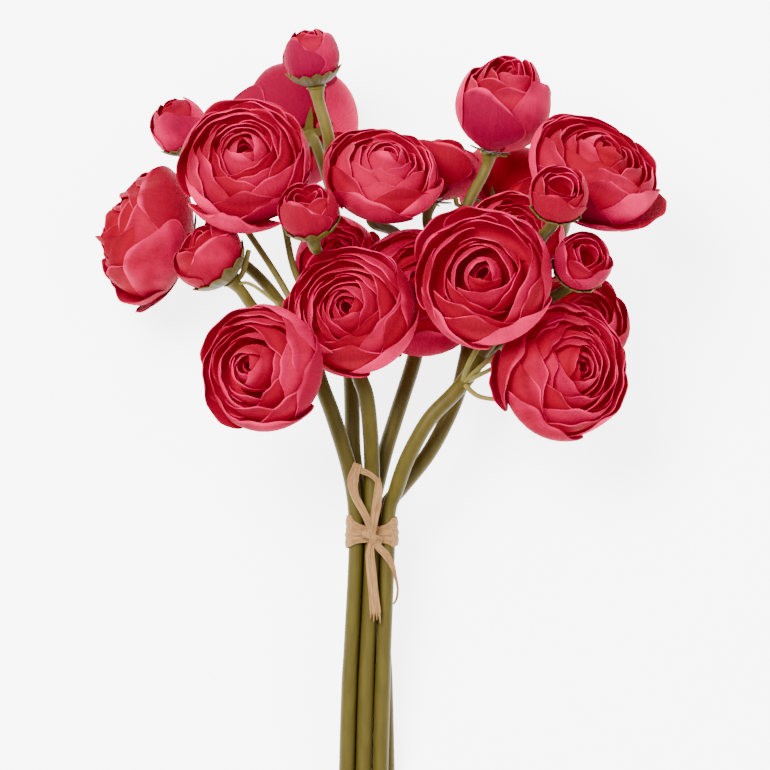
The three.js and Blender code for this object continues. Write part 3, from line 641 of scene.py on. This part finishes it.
def calyx(build, head, is_bud, seed):
    """A thin green cup with pointed teeth on its rim."""
    axes = axes_of(head)
    grow = 0.0 if is_bud else 0.3
    around = 96 if is_bud else 80
    teeth = 12 if is_bud else 6
    notch, tooth = (55, 66) if is_bud else (9, 27)
    turn = 2 * math.pi * np.arange(around) / around
    place = turn * teeth / (2 * math.pi)
    number = np.floor(place).astype(int) % teeth
    inside = 1 - np.abs(2 * (place - np.floor(place)) - 1)
    uneven = np.array([scatter(seed, 500 + k) for k in range(teeth)])[number]
    spike = inside ** (1.0 if is_bud else 2.2)
    reach = notch + (tooth - notch) * spike * (1 + (0.35 if is_bud else 0.12) * uneven)
    reach = reach + (2.5 * np.sin(turn + seed) if is_bud else 0)
    rows = np.linspace(0.04, 1, 9)[:, None]
    angle = np.radians(rows * reach[None])
    flare = (0.3 if is_bud else 0.6) * spike[None] * rows ** 6
    ridge = 0.12 * np.cos(turn * teeth * 2)[None] * rows

    def face(lift):
        distance, height = underside(head, angle, grow + lift + flare + ridge)
        return placed(axes, distance, turn, height)

    def marks(side):
        return layered(angle, rows, CALYX_PALE, 0.5, side)

    lifts = (CALYX_GAP + CALYX_WALL, CALYX_GAP)
    middles = [underside(head, 0.0, grow + lift)[1] for lift in lifts]
    points = np.concatenate([face(lift).reshape(-1, 3) for lift in lifts]
                            + [placed(axes, 0, 0, h)[None] for h in middles])
    over = tube(len(rows), around)[0]
    n = len(rows) * around
    i = np.arange(around)
    j = (i + 1) % around
    top = n - around
    rim = np.stack([top + i, top + j, n + top + j, n + top + i], 1)
    tris = np.concatenate([fan(2 * n, j, i), fan(2 * n + 1, n + i, n + j)])
    mark = np.concatenate([marks(side).reshape(-1, 4) for side in (1, 0)]
                          + [[(0, CALYX_PALE, 0.5, side) for side in (1, 0)]])
    build.add(points, np.concatenate([over, over[:, ::-1] + n, rim]), tris, mark)


# Each head with whether it is a bud and with its seed.
HEADS = {h["name"]: (h, False, k) for k, h in enumerate(BLOOMS, 1)}
HEADS |= {h["name"]: (h, True, k) for k, h in enumerate(BUDS, 31)}


def ball(build, at, way, radius, length, marks):
    """A smooth swelling where stalks part."""
    way = unit(way)
    steps = np.linspace(-1, 1, 11)[1:-1]
    route = [np.array(at) + way * length * s for s in steps]
    rod(build, route, STEM_SIDES, radius * np.sqrt(1 - steps ** 2), marks)


def rod_marks(sides, far, pale):
    """A rod's numbers, from how far along and how pale each of its rings is."""
    rings = np.stack([far, pale, 0 * far, 0 * far], 1)
    return np.concatenate([np.repeat(rings, sides, 0), [END_MARKS] * 2])


def stem(plan, material):
    build = Build()
    route = [np.array(p, float) for p in plan["route"]]
    main = smooth_route(route, steps=12)
    far = main[:, 1]
    radii = STEM_RADIUS - (STEM_RADIUS - WAIST_RADIUS) * np.clip(
        np.minimum(far - 54, 128 - far) / 8, 0, 1)
    pale = np.clip((far - 120) / 90, 0, 1)
    rod(build, main, STEM_SIDES, radii,
        rod_marks(STEM_SIDES, np.pad(far, 1, "edge") / 300,
                  np.concatenate([[CUT_PALE], 0.35 * pale, [0]])))
    fork = route[-1]
    lead = unit(fork - route[-2])
    ball(build, fork - lead * 1.5, lead, 3.35, 6.0, FORK_MARKS)
    for name, thick, via, neck in plan["stalks"]:
        head, is_bud, seed = HEADS[name]
        out, at = axes_of(head)[2:]
        base = at - out * (head["under"] + (0.6 if is_bud else 0.9))
        points = [fork - lead * 4.5, *via, base - out * neck, base]
        line = smooth_route(points, fork - lead * 13.5, base + out * neck)
        near = np.clip(1 - np.linalg.norm(line - base, axis=1) / 6, 0, 1)
        size = thick + (0.5 + 0.2 * thick) * near + 0.7 * near ** 4
        share = np.linspace(0, 1, len(line))
        pale = 0.1 + 0.38 * share if thick > 1.5 else 0.5 + 0.1 * share
        rod(build, line, STALK_SIDES, size,
            rod_marks(STALK_SIDES, np.pad(share, 1), np.pad(pale, 1, "edge")))
        calyx(build, head, is_bud, seed)
    for tag in plan.get("tags", ()):
        line = smooth_route(tag)
        share = np.linspace(0, 1, len(line))
        rod(build, line, LEAF_SIDES, 1.15 - 0.1 * share, LEAF_MARKS, 0.6)
    build.piece(plan["name"] + "_moulding", plan["name"], material)


# Raffia.
def outline(margin, around=96):
    """The ring round the stems at the tie, grown by a margin."""
    spots = np.array([p for plan in STEMS for p in plan["route"][2:4]])[:, [0, 2]]
    turn = 2 * math.pi * np.arange(around) / around
    ways = np.stack([np.cos(turn), np.sin(turn)], 1)
    reach = (spots @ ways.T).max(0) + WAIST_RADIUS + TIE_GAP + margin
    # The corner of each pair of neighbouring tangent lines.
    ahead, far = np.roll(ways, -1, 0), np.roll(reach, -1)
    det = ways[:, 0] * ahead[:, 1] - ways[:, 1] * ahead[:, 0]
    x = (reach * ahead[:, 1] - far * ways[:, 1]) / det
    z = (far * ways[:, 0] - reach * ahead[:, 0]) / det
    ring = np.stack([x, z], 1)
    for _ in range(6):
        ring = 0.5 * ring + 0.25 * (np.roll(ring, 1, 0) + np.roll(ring, -1, 0))
    return ring


KNOT_HEIGHT = 106.8
KNOT_TURN = math.radians(90)


def band(build, low, high, margin, lift, seed, across=15):
    """One flat turn of raffia round the stems, pleated along its length."""
    ring = outline(margin)
    normal = np.roll(ring, 1, 0) - np.roll(ring, -1, 0)
    normal = np.stack([-normal[:, 1], normal[:, 0]], 1)
    normal /= np.linalg.norm(normal, axis=1)[:, None]
    if (normal * (ring - ring.mean(0))).sum() < 0:
        normal = -normal
    around = len(ring)
    turn = 2 * math.pi * np.arange(around) / around
    s = np.linspace(0, 1, across)
    pleat = sum(a * np.sin(2 * math.pi * f * s[:, None] + 3 * scatter(seed, int(f))
                           + b * np.sin(turn[None] * 2 + f))
                for f, a, b in ((2, 0.12, 0.7), (3, 0.07, 0.5), (7, 0.04, 1.1)))
    belly = 0.2 * (1 - (2 * s - 1) ** 2)[:, None]
    slope = lift * np.cos(turn)[None] + 0.3 * np.sin(3 * turn + seed)[None]
    height = low + (high - low) * s[:, None] + slope
    # Both turns are drawn together where the knot pulls on them.
    pinch = np.exp(-((turn - KNOT_TURN) / 0.5) ** 2)[None]
    height = height + (KNOT_HEIGHT - height) * 0.5 * pinch ** 3
    pleat = pleat * (1 + 1.2 * pinch)

    def face(off):
        out = off + belly + pleat
        x = ring[None, :, 0] + normal[None, :, 0] * out
        z = ring[None, :, 1] + normal[None, :, 1] * out
        return np.stack([x, height + 0 * out, z], -1)

    # The ring runs round y so that a face outwards is turned the other way.
    over = tube(across, around)[0][:, [0, 3, 2, 1]]
    n = across * around
    back = over[:, ::-1] + n
    i = np.arange(around)
    j = (i + 1) % around
    top = n - around
    low_rim = np.stack([i, j, n + j, n + i], 1)
    high_rim = np.stack([top + j, top + i, n + top + i, n + top + j], 1)
    mark = layered(height, s[:, None], turn * 3, 0.5 + 0.3 * scatter(seed, 7), 1)
    build.add(np.concatenate([face(0.3), face(-0.28)]),
              np.concatenate([over, back, low_rim, high_rim]),
              marks=np.concatenate([mark, mark]))


def strip(build, points, widths, thickness, seed, across=9, twist=0.0):
    """A pleated ribbon of raffia along a route, with a width at each point."""
    line = smooth_route(points, steps=8)
    along = directions(line)
    side = np.cross(along, (0, 0, 1))
    side /= np.linalg.norm(side, axis=1)[:, None]
    face = np.cross(side, along)
    share = np.linspace(0, 1, len(line))
    roll = np.radians(twist) * np.sin(math.pi * share)
    side, face = (side * np.cos(roll)[:, None] + face * np.sin(roll)[:, None],
                  face * np.cos(roll)[:, None] - side * np.sin(roll)[:, None])
    s = np.linspace(-1, 1, across)
    half = 0.5 * np.interp(share, np.linspace(0, 1, len(widths)), widths)
    pleat = sum(a * np.sin(f * s[None] * 3 + scatter(seed, int(f)) * 3
                           + 1.5 * np.sin(share[:, None] * 5 + f))
                for f, a in ((2, 0.2), (4, 0.12), (7, 0.07)))
    pleat = pleat * min(1.0, max(widths) / 4) - 0.3 * (s[None] ** 2)
    base = line[:, None] + side[:, None] * (s[None, :, None] * half[:, None, None])
    rows = [base + face[:, None] * (pleat + lift)[..., None]
            for lift in (thickness / 2, -thickness / 2)]

    def marks(outward):
        return layered(pleat, (s + 1) / 2, share[:, None] * len(line) * 0.1,
                       0.5 + 0.4 * scatter(seed, 9), outward)

    # The two grids are given the wrong way round: a strip's faces point into it.
    shell(build, rows[1], rows[0], marks)


def raffia(material):
    build = Build()
    band(build, TIE_LOW + 0.1, TIE_MIDDLE + 0.9, 0.25, 0.3, 1)
    band(build, TIE_MIDDLE - 0.4, TIE_HIGH, 0.0, -0.5, 2)
    # The knot: short folded strips that cross over each other.
    strip(build, [(-8.2, 108.4, 8.6), (-6.6, 107.8, 10.4), (-4.6, 106.9, 11.5),
                  (-2.8, 105.9, 10.3), (-1.2, 105, 8.3)], (3.6, 2.8, 2.4, 2.8, 3.6), 0.8, 3)
    strip(build, [(-4.9, 111, 9.6), (-4.9, 109.2, 11.4), (-4.6, 106.9, 12),
                  (-4.5, 104.8, 11.2), (-4.4, 103.2, 9.4)], (3.4, 2.6, 2.3, 2.8, 3.2), 0.7, 4)
    # The loop: a wide run folded over at its top, a narrow one and one back down.
    strip(build, [(-4.9, 107.4, 10.9), (-5.8, 111.1, 11.3), (-8.4, 116.8, 11.4),
                  (-11.3, 122.3, 11.3), (-12.2, 128.2, 11.3), (-10.3, 134.6, 11.2)],
          (2.0, 2.6, 2.8, 3.0, 4.3, 3.2), 0.5, 5, twist=8)
    strip(build, [(-11.7, 133.7, 10.8), (-8.6, 131.9, 10.7), (-5, 130.1, 10.7),
                  (-2.2, 127.2, 10.9)], (2.2, 2.4, 1.9, 1.9), 0.5, 11, across=7)
    strip(build, [(-2.6, 129.3, 11.3), (-2.5, 124.6, 11.5), (-3.2, 118.6, 11.6),
                  (-4.2, 112.6, 11.7), (-4.7, 107.2, 11.2)], (1.6, 3.2, 3.5, 2.9, 1.9),
          0.5, 12, twist=-8)
    # The long tail, frayed at its end.
    strip(build, [(-5, 106, 11), (-5.7, 101, 10.7), (-5.2, 94.4, 10),
                  (-4.4, 86, 9.5), (-3.6, 78, 9.2)], (2.2, 3.3, 3.7, 3.8, 4.2), 0.55, 6)
    frays = [(-1.7, -1.6, 1.0), (-0.7, -2.6, 1.1), (0.3, -2.0, 1.0), (1.3, -3.2, 1.1)]
    for k, (x, down, wide) in enumerate(frays):
        strip(build, [(-3.8 + 0.8 * x, 81.5, 9.25), (-3.55 + x, 78.2, 9.2),
                      (-3.4 + 1.25 * x, 77.4 + down, 9.1 + 0.2 * scatter(8, k))],
              (wide, wide, 0.35), 0.35, 20 + k, across=4)
    # The thin tail that curls to the right.
    strip(build, [(-4.4, 106.2, 11), (-2.4, 103, 10.8), (0.4, 100, 10.4),
                  (2.7, 96, 9.9), (3.8, 92.4, 9.6), (4.8, 87.6, 9.3),
                  (4.4, 83.6, 9.1), (3.2, 81.4, 9)],
          (1.8, 2.8, 3.0, 2.2, 1.3, 0.9, 0.9, 0.7), 0.5, 7, across=7)
    build.piece("raffia_tie_strips", "raffia_tie", material)


# Materials. Colours are linear red, green and blue: first a petal's outside, then
# its inside, then both.
CRIMSON = (0.140, 0, 0.0065)
CRIMSON_TIP = (0.155, 0, 0.009)
PINKER = (0.150, 0, 0.020)
# redder dye on the inner layers, with painted light that lifts their shade
INNER_RED_AND_PAINTED_LIGHT = (0.265, 0, 0.0125)
# pale patches: paler dye and painted satin highlight
SATIN_DYE_AND_HIGHLIGHT = (0.48, 0, 0.056)
# painted light low on a petal, deep in the bloom, that lifts its shade
CLAW_PAINTED_LIGHT = (0.50, 0, 0.022)
# painted shade on a petal's outside just above the rim that covers it
SHADED = (0.10, 0, 0.0035)
BACK_OUTER = (0.155, 0, 0.0085)
# painted light that lifts the shade on the inside of the inner layers
BACK_INNER_PAINTED_LIGHT = (0.195, 0, 0.0095)
# pale patches inside: paler dye and painted satin highlight
BACK_DYE_AND_HIGHLIGHT = (0.36, 0, 0.036)
# painted light on the inside low on a petal, deep in the bloom
BACK_CLAW_PAINTED_LIGHT = (0.30, 0, 0.017)
# painted shade deep in the heart of blooms and buds
HEART_PAINTED_SHADE = (0.07, 0, 0.0025)
# pale cut edge of the cloth, with a painted highlight along the lip
CUT_EDGE_AND_HIGHLIGHT = (0.52, 0.006, 0.068)
PAINTED_GLOW_COLOUR = (1, 0, 0.045)  # painted glow, an emission that stands in for light through the cloth
PAINTED_GLOW_STRENGTH = 0.19
SHEEN = (1, 0.01, 0.10)
BLACK = (0, 0, 0)
WHITE = (1, 1, 1)
# Pairs are the two ends of a grain.
OLIVE = ((0.050, 0.037, 0.0042), (0.062, 0.046, 0.0052))
PALE_GREEN = ((0.130, 0.106, 0.023), (0.160, 0.132, 0.032))
BROWN_BLOTCH = (0.055, 0.037, 0.006)
RAFFIA = ((0.145, 0.069, 0.025), (0.36, 0.192, 0.074))
RAFFIA_SPOT = (0.20, 0.075, 0.03)
PAPER = ((0.93, 0.93, 0.93), (0.96, 0.96, 0.96))
PAPER_GLOW = 4.4
STREAKS = (42, 2.2, 37)  # noise cells across and along a petal, step from petal to petal
FIBRES = (26, 1.4, 19)  # the same for raffia
THREADS = 330  # the weave's waves, in radians over a petal


def node_set(name):
    material = bpy.data.materials.new(name)
    material.use_nodes = True
    material.node_tree.nodes.clear()
    return material, Nodes(material.node_tree)


class Nodes:
    """Small helper that makes and links shader nodes."""

    def __init__(self, tree):
        self.tree = tree

    def make(self, kind, **settings):
        node = self.tree.nodes.new(kind)
        for key, value in settings.items():
            setattr(node, key, value)
        return node

    def put(self, node, socket, value):
        target = node.inputs[socket]
        if hasattr(value, "is_output"):
            self.tree.links.new(value, target)
        elif target.type == "RGBA":
            target.default_value = (*value, 1)
        else:
            target.default_value = value

    def math(self, what, a, b=0.0):
        node = self.make("ShaderNodeMath", operation=what)
        self.put(node, 0, a)
        self.put(node, 1, b)
        return node.outputs[0]

    def times(self, a, b):
        return self.math("MULTIPLY", a, b)

    def plus(self, a, b):
        return self.math("ADD", a, b)

    def mix(self, share, a, b):
        node = self.make("ShaderNodeMix", data_type="RGBA")
        self.put(node, 0, share)
        self.put(node, 6, a)
        self.put(node, 7, b)
        return node.outputs[2]

    def ramp(self, value, low, high):
        node = self.make("ShaderNodeMapRange", interpolation_type="SMOOTHSTEP")
        self.put(node, 0, value)
        self.put(node, 1, low)
        self.put(node, 2, high)
        return node.outputs[0]

    def noise(self, where, scale, detail=3.0, rough=0.5):
        node = self.make("ShaderNodeTexNoise")
        self.put(node, "Vector", where)
        self.put(node, "Scale", scale)
        self.put(node, "Detail", detail)
        self.put(node, "Roughness", rough)
        return node.outputs[0]

    def stretched(self, where, by):
        node = self.make("ShaderNodeVectorMath", operation="MULTIPLY")
        self.put(node, 0, where)
        self.put(node, 1, by)
        return node.outputs[0]

    def lengthwise(self, u, w, tone, cells):
        node = self.make("ShaderNodeCombineXYZ")
        for k, (value, cell) in enumerate(zip((u, w, tone), cells)):
            self.put(node, k, self.times(value, cell))
        return node.outputs[0]

    def marks(self):
        node = self.make("ShaderNodeAttribute", attribute_name="marks")
        split = self.make("ShaderNodeSeparateColor")
        self.put(split, 0, node.outputs["Color"])
        return [*split.outputs, node.outputs["Alpha"]]

    def bump(self, height, strength, distance):
        node = self.make("ShaderNodeBump")
        self.put(node, "Strength", strength)
        self.put(node, "Distance", distance)
        self.put(node, "Height", height)
        return node.outputs[0]

    def surface(self, colour, rough, normal, **constants):
        shader = self.make("ShaderNodeBsdfPrincipled")
        self.put(shader, "Base Color", colour)
        self.put(shader, "Roughness", rough)
        self.put(shader, "Normal", normal)
        for key, value in constants.items():
            self.put(shader, key.replace("_", " "), value)
        out = self.make("ShaderNodeOutputMaterial")
        self.tree.links.new(shader.outputs[0], out.inputs[0])


def petal_cloth():
    material, n = node_set("petal_cloth")
    u, w, tone, side = n.marks()
    looks = n.make("ShaderNodeSeparateXYZ")
    n.put(looks, 0, n.make("ShaderNodeAttribute", attribute_name="looks").outputs["Vector"])
    inner, behind, dye_and_heart_shade = looks.outputs
    painted_glow = n.ramp(behind, 0, 1)
    near = n.times(n.ramp(behind, -2.0, 0.0), side)
    pink, deep = n.ramp(dye_and_heart_shade, 0, 1), n.ramp(dye_and_heart_shade, 0, -1)
    where = n.make("ShaderNodeTexCoord").outputs["Object"]
    soft = n.noise(where, 70, 2)
    cloth = n.noise(where, 900, 2, 0.6)
    # Pale patches over the outside of a petal: paler dye and painted satin highlight.
    pale_dye_and_highlight = n.plus(n.times(soft, 0.7), n.times(tone, 0.62))
    pale_dye_and_highlight = n.ramp(pale_dye_and_highlight, 0.5, 1.0)
    rise = n.ramp(w, 0.3, 0.6)
    pale_dye_and_highlight = n.times(pale_dye_and_highlight, n.plus(n.times(rise, 0.85), 0.15))
    outside = n.mix(n.ramp(w, 0.45, 0.9), CRIMSON, CRIMSON_TIP)
    outside = n.mix(pink, outside, PINKER)
    # Inner layers: redder dye, with painted light against their shade.
    outside = n.mix(inner, outside, INNER_RED_AND_PAINTED_LIGHT)
    outside = n.mix(pale_dye_and_highlight, outside, SATIN_DYE_AND_HIGHLIGHT)
    # Painted light low on a petal, deep in the bloom, lifts the shade there.
    outside = n.mix(n.ramp(w, 0.5, 0.15), outside, CLAW_PAINTED_LIGHT)
    inside = n.mix(inner, BACK_OUTER, BACK_INNER_PAINTED_LIGHT)
    # Pale patches inside: paler dye and painted satin highlight.
    inside = n.mix(n.times(n.ramp(soft, 0.45, 0.75), 0.3), inside, BACK_DYE_AND_HIGHLIGHT)
    # Painted light on the inside low on a petal.
    inside = n.mix(n.ramp(w, 0.5, 0.15), inside, BACK_CLAW_PAINTED_LIGHT)
    colour = n.mix(side, inside, outside)
    # Painted shade on the outside just above the rim of the layer round it.
    colour = n.mix(n.times(near, 0.55), colour, SHADED)
    # Painted shade on the innermost petals and the core, deep in the heart.
    colour = n.mix(deep, colour, HEART_PAINTED_SHADE)
    # Fine lengthwise streaks and the speckle of the weave.
    streak = n.noise(n.lengthwise(u, w, tone, STREAKS), 1.0, 3)
    shade = n.plus(n.plus(n.times(streak, 0.34), n.times(cloth, 0.3)), 0.68)
    vary = n.make("ShaderNodeHueSaturation")
    n.put(vary, "Value", shade)
    n.put(vary, "Color", colour)
    colour = vary.outputs[0]
    # The thin pale cut edge, with a painted highlight along its lip.
    off = n.math("ABSOLUTE", n.math("SUBTRACT", n.times(u, 2), 1))
    rim = n.math("MAXIMUM", n.ramp(off, 0.955, 1.0), n.ramp(w, 0.975, 1.0))
    rim = n.times(rim, n.ramp(w, 0.3, 0.6))
    colour = n.mix(n.times(rim, n.ramp(soft, 0.35, 0.65)), colour, CUT_EDGE_AND_HIGHLIGHT)
    # The bumps of the weave.
    warp = n.math("SINE", n.times(u, THREADS))
    weft = n.math("SINE", n.times(w, THREADS))
    weave = n.times(warp, weft)
    height = n.plus(n.times(weave, 0.35), n.plus(n.times(streak, 2.0), cloth))
    normal = n.bump(height, 0.35, 0.0003)
    rough = n.plus(n.times(cloth, 0.15), 0.5)
    # Painted glow: an emission in the gaps between petals that stands in for light
    # coming through the cloth.
    through = n.mix(painted_glow, BLACK, PAINTED_GLOW_COLOUR)
    n.surface(colour, rough, normal, Sheen_Weight=0.22, Sheen_Roughness=0.4,
              Sheen_Tint=SHEEN, Specular_IOR_Level=0.02,
              Emission_Color=through, Emission_Strength=PAINTED_GLOW_STRENGTH)
    return material


def moulded_plastic():
    material, n = node_set("stem_plastic")
    pale = n.marks()[1]
    where = n.make("ShaderNodeTexCoord").outputs["Object"]
    grain = n.noise(n.stretched(where, (1, 0.12, 1)), 420, 3)
    blotch = n.noise(where, 60, 2)
    olive = n.mix(n.ramp(grain, 0.3, 0.7), *OLIVE)
    light = n.mix(n.ramp(grain, 0.3, 0.7), *PALE_GREEN)
    colour = n.mix(n.ramp(pale, 0.1, 0.9), olive, light)
    colour = n.mix(n.times(n.ramp(blotch, 0.5, 0.75), 0.2), colour, BROWN_BLOTCH)
    normal = n.bump(n.plus(grain, n.times(blotch, 0.5)), 0.2, 0.0004)
    rough = n.plus(n.times(grain, 0.15), 0.42)
    n.surface(colour, rough, normal, Specular_IOR_Level=0.12)
    return material


def raffia_fibre():
    material, n = node_set("raffia_fibre")
    across, along, tone = n.marks()[:3]
    fibre = n.noise(n.lengthwise(across, along, tone, FIBRES), 1.0, 4, 0.6)
    where = n.make("ShaderNodeTexCoord").outputs["Object"]
    spots = n.noise(where, 160, 2)
    colour = n.mix(n.ramp(fibre, 0.32, 0.68), *RAFFIA)
    colour = n.mix(n.times(n.ramp(spots, 0.55, 0.8), 0.4), colour, RAFFIA_SPOT)
    normal = n.bump(fibre, 0.8, 0.0005)
    rough = n.plus(n.times(fibre, 0.2), 0.5)
    n.surface(colour, rough, normal, Specular_IOR_Level=0.12)
    return material


def paper_floor():
    material, n = node_set("floor_matt")
    where = n.make("ShaderNodeTexCoord").outputs["Object"]
    fine = n.noise(where, 30, 2)
    colour = n.mix(fine, *PAPER)
    normal = n.bump(fine, 0.02, 0.001)
    n.surface(colour, 0.9, normal, Specular_IOR_Level=0.1,
              Emission_Strength=PAPER_GLOW, Emission_Color=WHITE)
    return material


cloth = petal_cloth()
for head, is_bud, seed in HEADS.values():
    make = bud if is_bud else bloom
    make(head, seed, cloth)
plastic = moulded_plastic()
for plan in STEMS:
    stem(plan, plastic)
raffia(raffia_fibre())


# Floor, light and camera.
def row_point(x, y, z):
    return to_row([(x, y, z)])[0]


def row_way(x, y, z):
    return Vector(row_point(x, y, z) - row_point(0, 0, 0)).normalized()


FLOOR_HALF = 6  # metres
FLOOR_DROP = 0.0002  # below the ground, clear of the lowest points
WORLD_STRENGTH = 1.2
LIT_SPOT = (-5, 200, 20)
# Name, place in the bunch's frame, size in metres, watts.
LAMPS = [("key", (-420, 620, 1100), 0.6, 47), ("fill", (700, 250, 900), 1.0, 9)]
CAMERA_AT = (0, 164.3, 2000)
CAMERA_LENS = 246.07
CAMERA_SENSOR = 36
CAMERA_REACH = 20  # metres

floor_mesh = bpy.data.meshes.new("floor")
corners = [(-1, -1), (1, -1), (1, 1), (-1, 1)]
floor_mesh.from_pydata([(x * FLOOR_HALF, y * FLOOR_HALF, -FLOOR_DROP) for x, y in corners],
                       [], [(0, 1, 2, 3)])
floor_mesh.materials.append(paper_floor())
floor = bpy.data.objects.new("floor", floor_mesh)
bpy.context.scene.collection.objects.link(floor)

world = bpy.data.worlds.new("studio")
world.use_nodes = True
backdrop = world.node_tree.nodes["Background"]
backdrop.inputs[0].default_value = (*WHITE, 1)
backdrop.inputs[1].default_value = WORLD_STRENGTH
bpy.context.scene.world = world

for name, at, size, power in LAMPS:
    lamp = bpy.data.lights.new(name, "AREA")
    lamp.shape = "DISK"
    lamp.size = size
    lamp.energy = power
    obj = bpy.data.objects.new(name, lamp)
    bpy.context.scene.collection.objects.link(obj)
    obj.location = row_point(*at)
    way = Vector(row_point(*LIT_SPOT) - row_point(*at))
    obj.rotation_euler = way.to_track_quat("-Z", "Y").to_euler()

camera_data = bpy.data.cameras.new("camera")
camera_data.sensor_width = CAMERA_SENSOR
camera_data.lens = CAMERA_LENS
camera_data.clip_end = CAMERA_REACH
camera = bpy.data.objects.new("camera", camera_data)
bpy.context.scene.collection.objects.link(camera)
# It looks along the bunch's own z, from the side the heads face.
turn = Matrix([row_way(*way) for way in np.eye(3)]).transposed().to_4x4()
camera.matrix_world = Matrix.Translation(row_point(*CAMERA_AT)) @ turn
bpy.context.scene.camera = camera
